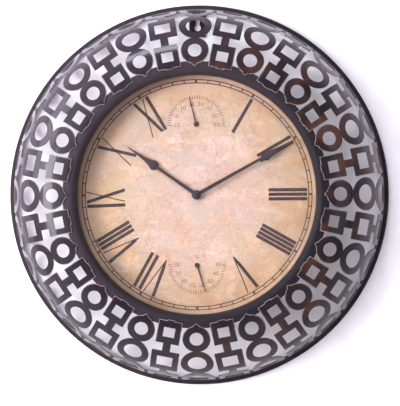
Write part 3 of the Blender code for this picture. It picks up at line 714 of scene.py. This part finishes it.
def frame_faces(start, length, width):
    """Two bars and two sides of a flat frame, with corners in the bars where links meet them."""
    half = width / 2
    hole = half - SIDE_BAR
    link = LINK_WIDTH / 2
    stop = start + length
    low = start + CROSS_BAR
    high = stop - CROSS_BAR
    return [
        [(-half, start), (-link, start), (0, start), (link, start), (half, start)]
        + [(half, low), (hole, low), (-hole, low), (-half, low)],
        [(-half, high), (-hole, high), (hole, high), (half, high)]
        + [(half, stop), (link, stop), (0, stop), (-link, stop), (-half, stop)],
        [(hole, low), (half, low), (half, high), (hole, high)],
        [(-half, low), (-hole, low), (-hole, high), (-half, high)],
    ]


def ring_chain():
    half_neck = NECK_WIDTH / 2
    half_tip = NIB_TIP_WIDTH / 2
    tip = RING_LAP - NIB_LENGTH
    along = RING_LAP
    faces = [[(-half_tip, tip), (half_tip, tip), (half_neck, along), (0, along), (-half_neck, along)]]
    for diameter, apothem in zip(RING_DIAMETERS, NECK_APOTHEMS):
        faces += ring_faces(along + apothem, diameter)
        along += 2 * apothem
    return faces + [bar_face(NECK_WIDTH, along, ARC_LENGTH)]


def frame_chain():
    tab_start = ARC_LENGTH - HOOP_TAB_LENGTH
    last_start = FRAME_LAP + sum(FRAME_LENGTHS) + sum(LINK_LENGTHS)
    lengths = (*FRAME_LENGTHS, tab_start - last_start)
    faces = [bar_face(LINK_WIDTH, FRAME_LAP - STUB_LENGTH, FRAME_LAP)]
    along = FRAME_LAP
    for length, width, link in zip(lengths, FRAME_WIDTHS, (*LINK_LENGTHS, HOOP_TAB_LENGTH)):
        faces += frame_faces(along, length, width)
        along += length
        faces.append(bar_face(LINK_WIDTH, along, along + link))
        along += link
    return faces


def bent_strip(blank_faces, is_outside):
    """Strip with eased, bare edges, bent over the quarter round above the dial.

    Its outer edge is worn bare for a wider band near the crown.
    """
    bm = bmesh.new()
    for corners in blank_faces:
        bm.faces.new([bm.verts.new((across, along, 0)) for across, along in corners])
    weld(bm)
    band = bmesh.ops.inset_region(
        bm, faces=bm.faces[:], thickness=WORN_BAND, use_boundary=True, use_even_offset=True
    )["faces"]
    for face in band:
        across, along, _ = face.calc_center_median()
        if along < WORN_REACH and is_outside(across, along):
            face.material_index = WORN
    thicken(bm, Vector((0, 0, -STRIP_THICKNESS)))
    ease_edges(bm, STRIP_EDGE)
    for face in bm.faces:
        painted = abs(face.normal.z) > 0.9 and face.material_index != WORN
        face.material_index = PAINTED if painted else BARE
    for k in range(1, ceil(ARC_LENGTH / BEND_STEP)):
        cut_across(bm, k * BEND_STEP)
    for vert in bm.verts:
        across, along, lift = vert.co
        tilt = along / DOME_RADIUS
        reach = DOME_RADIUS + lift
        vert.co = (across, -(SPRING_DEPTH + reach * cos(tilt)), CROWN_RADIUS + reach * sin(tilt))
    return bm


def make_rim():
    materials = (rim_bronze(), bare_edge())
    pitch = 2 * pi / STRIP_PAIRS
    ring_middle = RING_LAP + NECK_APOTHEMS[0]
    band_middle = RING_DIAMETERS[0] / 2 - RING_BAND / 2
    side_middle = (FRAME_WIDTHS[0] - SIDE_BAR) / 2

    def outside_ring(across, along):
        return hypot(across, along - ring_middle) > band_middle

    def outside_frame(across, along):
        return abs(across) > side_middle or along < FRAME_LAP + CROSS_BAR / 2

    chains = (
        ("circle_strip", ring_chain(), outside_ring, 0.0),
        ("square_strip", frame_chain(), outside_frame, pitch / 2),
    )
    for chain, faces, is_outside, start in chains:
        for k in range(STRIP_PAIRS):
            bm = moved(bent_strip(faces, is_outside), AXIS, start + k * pitch)
            node = f"{chain}_{k + 1:02d}"
            stand_for(node, f"{node}_sheet", bm, *materials)


def make_ring(node, name, material, bore, edge, steps=FINE_STEPS):
    """Round piece on the dial axis, with a bore if it has one."""
    section = rectangle(bore, outer_radius(node), *depths(node))
    outline = rounded(section, edge) if bore else spun_profile(section, edge)
    stand_for(node, name, turned(outline, steps), material)


def make_hoop(black):
    bore = outer_radius("outer_hoop") - HOOP_WIDTH
    make_ring("outer_hoop", "hoop_bar", black, bore, HOOP_EDGE, 2 * FINE_STEPS)


def make_bezel(black):
    outer = outer_radius("bezel_ring")
    back, crown = depths("bezel_ring")
    lip = depths("lens_gasket")[1] + GAP
    shoulder = (CROWN_RADIUS, crown - SHOULDER_RADIUS)
    corner = (outer - FLANGE_EDGE, crown - FLANGE_EDGE)
    under_radius = SHOULDER_RADIUS - BEZEL_SHEET
    outline = [
        (OPENING_RADIUS, lip),
        *arc(SHOULDER_RADIUS, 13, shoulder, -pi / 2, pi / 2),
        *arc(FLANGE_EDGE, 5, corner, 0, pi / 2),
        (outer, back),
        (outer - BEZEL_SHEET, back),
        (outer - BEZEL_SHEET, crown - BEZEL_SHEET),
        *arc(under_radius, 9, shoulder, 0, -pi / 2),
        (OPENING_RADIUS + BEZEL_SHEET, lip),
    ]
    stand_for("bezel_ring", "bezel_spinning", turned(outline), black)


def make_glazing(glass, rubber, black):
    back, front = depths("lens_glass")
    radius = outer_radius("lens_glass")
    outline = [(0, back), (radius - PANE_EDGE, back), (radius, back + PANE_EDGE)]
    outline += [(radius, front - PANE_EDGE), (radius - PANE_EDGE, front), (0, front)]
    pane = stand_for("lens_glass", "lens_pane", turned(outline), glass)
    pane.visible_shadow = False
    make_ring("lens_gasket", "lens_gasket_ring", rubber, GASKET_BORE, GASKET_EDGE)
    bore = outer_radius("spacer_ring") - SPACER_WALL
    make_ring("spacer_ring", "spacer_wall", black, bore, SPACER_EDGE)


def make_hanger(black):
    low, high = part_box("hanger_plate")
    back, front = depths("hanger_plate")
    slot = SLOT_WIDTH / 2
    edge = rounded(rectangle(low.x, high.x, low.z, high.z), HANGER_CORNER)
    mouth = asin(slot / KEYHOLE_RADIUS)
    slot_end = arc(slot, 17, (0, 0), -pi / 2, pi)
    keyhole = arc(KEYHOLE_RADIUS, 41, (0, -KEYHOLE_DROP), mouth, 2 * (pi - mouth))
    bm = plate([edge, slot_end + keyhole], back, front, HANGER_EDGE)
    stand_for("hanger_plate", "hanger_strap", bm, black)


def make_pan(black):
    """Pressed cup with a rounded bottom corner, pierced for the movement and the two inserts."""
    back, rim = depths("case_pan")
    outer = outer_radius("case_pan")
    inner = outer - PAN_SHEET
    floor = back + PAN_SHEET
    inner_bend = PAN_BEND - PAN_SHEET
    eased = PAN_RIM_EDGE
    profile = arc(PAN_BEND, 6, (outer - PAN_BEND, back + PAN_BEND), pi, -pi / 2)
    profile += [(outer, rim - eased), (outer - eased, rim), (inner + eased, rim), (inner, rim - eased)]
    profile += arc(inner_bend, 4, (inner - inner_bend, floor + inner_bend), pi / 2, pi / 2)
    can_hole = outer_radius("thermometer_can") + GAP
    bushing_hole = outer_radius("center_bushing") + GAP
    holes = [circle(can_hole, 72, (0, side * INSERT_OFFSET)) for side in (1, -1)]
    holes.append(circle(bushing_hole, 36))
    bm = bmesh.new()
    rings = [loop_at(bm, circle(radius, FINE_STEPS), depth) for radius, depth in profile]
    under = [loop_at(bm, hole, back) for hole in holes]
    above = [loop_at(bm, hole, floor) for hole in holes]
    walls(bm, rings)
    for pair in zip(under, above):
        walls(bm, pair)
    fill(bm, [rings[0], *under])
    fill(bm, [rings[-1], *above])
    stand_for("case_pan", "pan_pressing", bm, black)


def make_can(node, aluminium):
    """Spun cup with its bearing boss."""
    back, front = depths(node)
    radius = outer_radius(node)
    floor = back + CAN_WALL
    bore = radius - CAN_WALL
    boss = floor + BEARING_HEIGHT
    outline = [(0, back), (radius, back), (radius, front), (bore, front), (bore, floor)]
    outline += [(BEARING_RADIUS, floor), (BEARING_RADIUS, boss), (0, boss)]
    bm = turned(spun_profile(outline, CAN_EDGE), 96, node_middle(node))
    stand_for(node, f"{node}_cup", bm, aluminium)


def make_housing(moulding):
    """Moulded case with the cell bay open at its back and a raised ring round the setting knob."""
    back, front = depths("movement_housing")
    half = outer_radius("movement_housing")
    inset = half - HOUSING_CHAMFER
    square = rounded(rectangle(-half, half, -half, half), HOUSING_CORNER, 6)
    inner = [(x * inset / half, z * inset / half) for x, z in square]
    middle = node_middle("battery_cell").z - AXIS.z
    bay_x, bay_z = BAY_LENGTH / 2, BAY_WIDTH / 2
    bay = rectangle(-bay_x, bay_x, middle - bay_z, middle + bay_z)
    knob = node_middle("time_set_knob").z - AXIS.z
    steps = zip(KNOB_RING_RADII, KNOB_RING_LIFTS)
    bm = bmesh.new()
    shell = [loop_at(bm, inner, back), loop_at(bm, square, back + HOUSING_CHAMFER)]
    shell += [loop_at(bm, square, front - HOUSING_CHAMFER), loop_at(bm, inner, front)]
    well = [loop_at(bm, bay, back), loop_at(bm, bay, front - BAY_WALL)]
    ring = [loop_at(bm, circle(radius, 48, (0, knob)), back - lift) for radius, lift in steps]
    for loops in (shell, well, ring):
        walls(bm, loops)
    for loops in ([shell[0], well[0], ring[-1]], [ring[0]], [shell[-1]], [well[-1]]):
        fill(bm, loops)
    stand_for("movement_housing", "movement_case", bm, moulding)


def make_knob(plastic):
    back, front = depths("time_set_knob")
    middle = node_middle("time_set_knob")
    radius = outer_radius("time_set_knob") - KNOB_LOBE_DEPTH
    count = KNOB_LOBE_STEPS * KNOB_LOBES
    edge = []
    for k in range(count):
        angle = 2 * pi * k / count
        reach = radius + KNOB_LOBE_DEPTH * cos(KNOB_LOBES * angle)
        edge.append((middle.x + reach * sin(angle), middle.z + reach * cos(angle)))
    bm = plate([edge], back, front, KNOB_EDGE)
    stand_for("time_set_knob", "setting_knob", bm, plastic)


def make_cell(jacket, band, steel):
    """Cell with a printed sleeve, a lighter band at its button end and bare steel ends."""
    low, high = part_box("battery_cell")
    radius = (high.z - low.z) / 2
    whole = high.x - low.x
    length = whole - CELL_BUTTON_LENGTH
    outline = [(0, 0), (radius, 0), (radius, length), (CELL_BUTTON_RADIUS, length)]
    outline += [(CELL_BUTTON_RADIUS, whole), (0, whole)]
    bm = turned(spun_profile(outline, CELL_EDGE), 64, ORIGIN)
    band_start = length * BAND_START_SHARE
    cut_across(bm, -band_start)
    materials = [jacket, band, steel]
    for face in bm.faces:
        middle = face.calc_center_median()
        sleeve = band if -middle.y > band_start else jacket
        on_side = hypot(middle.x, middle.z) > radius - SLEEVE_LAP
        face.material_index = materials.index(sleeve if on_side else steel)
    turn = Matrix.Rotation(pi / 2, 4, "Z") @ Matrix.Translation((0, whole / 2, 0))
    bmesh.ops.transform(bm, matrix=Matrix.Translation((low + high) / 2) @ turn, verts=bm.verts)
    stand_for("battery_cell", "cell_sleeve", bm, *materials)


def make_arbors(brass, steel, rubber):
    bushing = outer_radius("center_bushing")
    turnings = (
        ("center_bushing", brass, bushing - BUSHING_WALL),
        ("hour_tube", brass, outer_radius("hour_tube") - TUBE_WALL),
        ("minute_shaft", steel, 0.0),
        ("bushing_washer", rubber, bushing + GAP),
    )
    for node, material, bore in turnings:
        make_ring(node, f"{node}_turning", material, bore, TURNING_EDGE, 48)
    back, front = depths("bushing_nut")
    hexagon = circle(outer_radius("bushing_nut"), 6)
    bm = moved(plate([hexagon, circle(bushing + GAP, 40)], back, front, TURNING_EDGE), AXIS)
    stand_for("bushing_nut", "bushing_nut_hexagon", bm, brass)


def stroke(top_x, foot_x, width):
    """Straight stroke cut level at both ends."""
    half, top, foot = width / 2, NUMERAL_TOP, NUMERAL_FOOT
    return [(top_x - half, top), (top_x + half, top), (foot_x + half, foot), (foot_x - half, foot)]


def pointed_stroke(top_x, foot_x, width):
    """Straight stroke cut level at its top that narrows to a point at its foot."""
    half, top, foot = width / 2, NUMERAL_TOP, NUMERAL_FOOT
    tip = FIVE_TIP_WIDTH / 2
    start = foot + FIVE_POINT_SHARE * (top - foot)
    start_x = foot_x + FIVE_POINT_SHARE * (top_x - foot_x)
    side = [(top_x - half, top), (top_x + half, top), (start_x + half, start)]
    return side + [(foot_x + tip, foot), (foot_x - tip, foot), (start_x - half, start)]


def numeral_strokes(text):
    """The strokes of a numeral, upright and centred, with its height given by the dial radii."""
    pitch = ONE_PITCH.get(text.count("I"), 0.0)
    widths = {"V": FIVE_GLYPH_WIDTH, "X": TEN_TOP_WIDTH}
    strokes = []
    x = 0.0
    last = None
    for glyph in text:
        width = widths.get(glyph, 0.0)
        if last is not None:
            x += pitch if glyph == last == "I" else GLYPH_GAP
        middle = x + width / 2
        if glyph == "I":
            strokes.append((stroke, middle, middle, THICK_STROKE))
        elif glyph == "V":
            strokes.append((pointed_stroke, x, middle, THICK_STROKE))
            strokes.append((stroke, x + width, middle, THIN_STROKE))
        else:
            spread = TEN_FOOT_WIDTH / 2
            strokes.append((stroke, x, middle + spread, THICK_STROKE))
            strokes.append((stroke, x + width, middle - spread, THIN_STROKE))
        x += width
        last = glyph
    return [drawn(top_x - x / 2, foot_x - x / 2, thick) for drawn, top_x, foot_x, thick in strokes]


def flat_bodies(polygons, back, welded=False):
    """Thin raised bodies of ink in one mesh, one for each (x, z) polygon unless they are welded."""
    bm = bmesh.new()
    for polygon in polygons:
        bm.faces.new(loop_at(bm, polygon, back, ORIGIN))
    if welded:
        weld(bm)
    thicken(bm, Vector((0, -INK_THICKNESS, 0)))
    return bm


def turned_points(polygon, angle, centre=(0.0, 0.0)):
    """Polygon turned clockwise about the origin and moved to a centre."""
    c, s = cos(angle), sin(angle)
    return [(centre[0] + x * c + z * s, centre[1] - x * s + z * c) for x, z in polygon]


def tick(width, low, high, angle, centre=(0.0, 0.0)):
    return turned_points(rectangle(-width / 2, width / 2, low, high), angle, centre)


def ink_piece(name, bm, material):
    piece = finish_mesh(name, moved(bm, AXIS), (material,))
    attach(piece, BODY_OF["dial_plate"])


def make_numerals(face, dark):
    polygons = []
    for hour, text in NUMERALS.items():
        angle = radians(30 * hour + NUMERAL_SLIPS.get(hour, 0.0))
        polygons += [turned_points(points, angle) for points in numeral_strokes(text)]
    ink_piece("dial_numerals", flat_bodies(polygons, face), dark)


def make_track(face, brown):
    """Two rails round the numerals, with a tick for each minute between them."""
    rails = []
    for radius in TRACK_RADII:
        inner = circle(radius - RAIL_WIDTH / 2, FINE_STEPS)
        outer = circle(radius + RAIL_WIDTH / 2, FINE_STEPS)
        for k in range(FINE_STEPS):
            j = (k + 1) % FINE_STEPS
            rails.append([inner[k], inner[j], outer[j], outer[k]])
    ink_piece("track_rails", flat_bodies(rails, face, welded=True), brown)
    ticks = []
    low, high = TRACK_RADII[0] + RAIL_WIDTH / 2, TRACK_RADII[1] - RAIL_WIDTH / 2
    for minute in range(60):
        width = TICK_WIDTH if minute % 5 else FIVE_WIDTH
        ticks.append(tick(width, low, high, 2 * pi * minute / 60))
    ink_piece("track_ticks", flat_bodies(ticks, face), brown)


def text_bodies(labels, face):
    """Thin bodies of type, from (text, size, (x, z)) labels."""
    bm = bmesh.new()
    for text, size, (x, z) in labels:
        curve = bpy.data.curves.new("label", "FONT")
        curve.body = text
        curve.size = size
        curve.align_x = "CENTER"
        curve.align_y = "CENTER"
        curve.extrude = INK_THICKNESS / 2
        label = bpy.data.objects.new("label", curve)
        mesh = bpy.data.meshes.new_from_object(label)
        mesh.transform(Matrix.Translation((x, -face, z)) @ Matrix.Rotation(pi / 2, 4, "X"))
        bm.from_mesh(mesh)
        bpy.data.objects.remove(label)
    weld(bm)
    return bm


def make_scale(name, face, material, upward, first, step, unit):
    """Half-round scale of ticks and plain numbers about one needle."""
    side = 1 if upward else -1
    centre = (0.0, side * INSERT_OFFSET)
    count = (SCALE_NUMBERS - 1) * TICKS_PER_NUMBER
    middle = 0.0 if upward else pi
    ticks = []
    labels = []
    for k in range(count + 1):
        angle = middle + SCALE_SWEEP * (k / count - 0.5)
        numbered = k % TICKS_PER_NUMBER == 0
        low = SCALE_RADII[0] - (LONG_TICK_EXTRA if numbered else 0.0)
        ticks.append(tick(SCALE_TICK_WIDTH, low, SCALE_RADII[1], angle, centre))
        if numbered:
            value = first + step * (k // TICKS_PER_NUMBER)
            x = centre[0] + SCALE_NUMBER_RADIUS * sin(angle)
            z = centre[1] + SCALE_NUMBER_RADIUS * cos(angle)
            labels.append((str(value), SCALE_TEXT, (x, z)))
    labels.append((unit, UNIT_TEXT, (0.0, centre[1] - side * UNIT_OFFSET)))
    ink_piece(f"{name}_ticks", flat_bodies(ticks, face), material)
    ink_piece(f"{name}_numbers", text_bodies(labels, face), material)


def make_print():
    face = depths("dial_plate")[1] + INK_LIFT
    dark = ink("ink_dark", (31, 13, 19), (72, 42, 45), 0.16)
    brown = ink("ink_brown", (48, 25, 26), (92, 56, 50), 0.12)
    pale = ink("ink_pale", (78, 54, 54), (140, 104, 92), 0.1)
    make_numerals(face, dark)
    make_track(face, brown)
    make_scale("thermometer", face, pale, True, -10, 10, "°C")
    make_scale("hygrometer", face, pale, False, 30, 10, "%")


def mirrored(right_side):
    """Whole outline from its right side, with points on the middle line kept single."""
    return right_side + [(-x, z) for x, z in reversed(right_side) if abs(x) > WELD]


def hand_outline(length, bulge_at):
    """Spade hand pointing up: round hub, tapered shaft, round bulge and a long hollow-sided point."""
    root = HAND_ROOT_WIDTH / 2
    shaft = HAND_SHAFT_WIDTH / 2
    bulge = HAND_BULGE_WIDTH / 2
    tip = HAND_TIP_WIDTH / 2
    low_angle = pi - asin(shaft / bulge)
    sides = arc(bulge, 16, (0, bulge_at), POINT_START, low_angle - POINT_START)
    start_width, start_height = sides[0]
    point = [(tip, length)]
    for k in range(POINT_STEPS - 1, 0, -1):
        share = (k / POINT_STEPS) ** POINT_CROWDING
        steep = POINT_HOLLOW * exp(-share / POINT_HOLLOW_REACH)
        even = (1 - POINT_HOLLOW) * (1 - share)
        height = start_height + share * (length - start_height)
        point.append((tip + (start_width - tip) * (steep + even), height))
    hub_angle = asin(root / HAND_HUB_RADIUS)
    hub = arc(HAND_HUB_RADIUS, 24, (0, 0), hub_angle, pi - hub_angle)
    return mirrored(point + sides + hub)


def make_hands(paint):
    """Both hands, and the domed nut with its socket over the minute hand's bore."""
    for node, angle in (("hour_hand", HOUR_ANGLE), ("minute_hand", MINUTE_ANGLE)):
        back, front = depths(node)
        outline = hand_outline(HAND_LENGTHS[node], HAND_BULGES[node])
        bm = plate([outline, circle(HAND_BORES[node], 32)], back, front, HAND_EDGE)
        stand_for(node, f"{node}_blade", moved(bm, AXIS, angle), paint)
    back, front = depths("hand_cap_nut")
    bore = HAND_BORES["minute_hand"]
    corner = (CAP_RADIUS - CAP_EDGE, front - CAP_EDGE)
    outline = [(bore, back + CAP_SOCKET), (bore, back), (CAP_RADIUS, back)]
    outline += arc(CAP_EDGE, 5, corner, pi / 2, -pi / 2)
    outline += [(0, front), (0, back + CAP_SOCKET)]
    stand_for("hand_cap_nut", "hand_cap_dome", turned(outline, 48), paint)


def make_needle(name, height, angle, paint):
    """Tapered needle with its spindle behind and its boss in front."""
    node = f"{name}_pointer"
    seat, front = depths(node)
    back = front - NEEDLE_THICKNESS
    start = asin(NEEDLE_ROOT_WIDTH / 2 / NEEDLE_HUB_RADIUS)
    hub = arc(NEEDLE_HUB_RADIUS, 24, (0, 0), start, pi - start)
    tip = (NEEDLE_TIP_WIDTH / 2, NEEDLE_LENGTH)
    bm = plate([mirrored([tip] + hub)], back, front, NEEDLE_EDGE)
    centre = Vector((0, 0, height))
    spindle = rectangle(0, NEEDLE_SPINDLE_RADIUS, seat, back)
    boss = rounded(rectangle(0, NEEDLE_BOSS_RADIUS, front, front + NEEDLE_BOSS_HEIGHT), NEEDLE_BOSS_EDGE)
    for outline, steps in ((spindle, 24), (boss, 32)):
        other = turned(outline, steps, ORIGIN)
        mesh = bpy.data.meshes.new("joined")
        other.to_mesh(mesh)
        other.free()
        bm.from_mesh(mesh)
        bpy.data.meshes.remove(mesh)
    stand_for(node, f"{node}_blade", moved(bm, centre, angle), paint)


def stage_material(name, colour):
    """Matt pale paint that is clear from behind, so that the backdrop never hides the object."""
    finish = Finish(name, Base_Color=tone(*colour), Roughness=0.9, Specular_IOR_Level=0.1)
    behind = finish.node("ShaderNodeNewGeometry").outputs["Backfacing"]
    clear = finish.node("ShaderNodeBsdfTransparent").outputs["BSDF"]
    mixer = finish.node("ShaderNodeMixShader", Fac=behind)
    finish.feed(mixer.inputs[1], finish.shader.outputs["BSDF"])
    finish.feed(mixer.inputs[2], clear)
    surface = finish.tree.nodes["Material Output"].inputs["Surface"]
    finish.feed(surface, mixer.outputs["Shader"])
    return finish.material


def make_stage():
    """Pale wall and floor, each a rectangle from its near or low edge to its far or high one."""
    surfaces = (
        ("wall", (245, 241, 249), (WALL_BEHIND, FLOOR_LEVEL), (WALL_BEHIND, WALL_TOP)),
        ("floor", (232, 230, 228), (STAGE_FRONT, FLOOR_LEVEL), (WALL_BEHIND, FLOOR_LEVEL)),
    )
    side = STAGE_HALF_WIDTH
    for name, colour, near, far in surfaces:
        mesh = bpy.data.meshes.new(name)
        corners = [(-side, *near), (side, *near), (side, *far), (-side, *far)]
        mesh.from_pydata(corners, [], [(0, 1, 2, 3)])
        mesh.materials.append(stage_material(f"{name}_paint", colour))
        surface = placed(name, mesh)
        surface.visible_shadow = False


def make_light(name, direction, distance, size, power, colour):
    """Soft box that faces the dial."""
    data = bpy.data.lights.new(name, "AREA")
    data.shape = "RECTANGLE"
    data.size, data.size_y = size
    data.energy = power
    data.color = colour
    light = placed(name, data)
    toward = Vector(direction).normalized()
    light.location = AXIS + toward * distance
    light.rotation_euler = toward.to_track_quat("Z", "Y").to_euler()


def make_lights():
    world = bpy.data.worlds.new("room")
    world.use_nodes = True
    background = world.node_tree.nodes["Background"]
    background.inputs["Color"].default_value = ROOM_COLOUR
    background.inputs["Strength"].default_value = ROOM_STRENGTH
    bpy.context.scene.world = world
    for light in LIGHTS:
        make_light(*light)


def make_camera():
    data = bpy.data.cameras.new("camera")
    data.lens = CAMERA_LENS
    camera = placed("camera", data)
    camera.location = AXIS + Vector((CAMERA_RIGHT, -CAMERA_DISTANCE, -CAMERA_BELOW))
    aim = AXIS + Vector((AIM_RIGHT, 0, -AIM_BELOW))
    look = (aim - camera.location).to_track_quat("-Z", "Y")
    camera.rotation_euler = (look @ Quaternion((0, 0, 1), CAMERA_ROLL)).to_euler()
    bpy.context.scene.camera = camera


def main():
    bpy.context.scene.view_settings.view_transform = "Standard"
    make_camera()
    make_lights()
    make_stage()
    make_rim()
    black = black_paint("bezel_black", (25, 17, 27), 0.06, 0.36)
    make_hoop(black_paint("hoop_black", (40, 31, 38), 0.1, 0.14, HOOP_SHEEN_RADIUS))
    make_bezel(black)
    rubber = plain_finish("seal_rubber", (20, 20, 22), (34, 33, 34), 60.0, 0.75)
    inner_black = plain_finish("inner_black", (34, 28, 30), (46, 38, 40), 40.0, 0.6)
    make_glazing(clear_glass(), rubber, inner_black)
    dress(parchment(), "dial_plate")
    make_print()
    paint = hand_paint()
    make_hands(paint)
    make_needle("thermometer", AXIS.z + INSERT_OFFSET, THERMOMETER_ANGLE, paint)
    make_needle("hygrometer", AXIS.z - INSERT_OFFSET, HYGROMETER_ANGLE, paint)
    make_hanger(black_paint("hanger_black", (30, 23, 28), 0.1, 0.1))
    make_pan(inner_black)
    brass = plain_finish("turned_brass", (150, 118, 62), (196, 160, 92), 300.0, 0.32, 1.0, 0.00002)
    steel = plain_finish("bright_steel", (150, 150, 154), (190, 190, 194), 300.0, 0.3, 1.0, 0.00002)
    make_arbors(brass, steel, rubber)
    dress(steel, "battery_contact_positive", "battery_contact_negative")
    make_housing(plain_finish("movement_plastic", (22, 22, 24), (34, 34, 36), 80.0, 0.55, 0.0, 0.00008))
    make_knob(plain_finish("knob_plastic", (96, 96, 98), (116, 116, 118), 90.0, 0.5))
    jacket = plain_finish("cell_jacket", (36, 40, 48), (50, 54, 64), 60.0, 0.3)
    make_cell(jacket, plain_finish("cell_band", (150, 108, 62), (176, 130, 80), 60.0, 0.3), steel)
    aluminium = plain_finish("spun_aluminium", (168, 168, 170), (200, 200, 202), 200.0, 0.38, 1.0, 0.00002)
    make_can("thermometer_can", aluminium)
    make_can("hygrometer_can", aluminium)
    bimetal = plain_finish("bimetal", (150, 112, 76), (176, 136, 96), 200.0, 0.4, 1.0)
    dress(bimetal, "thermometer_coil", "hygrometer_coil")


main()
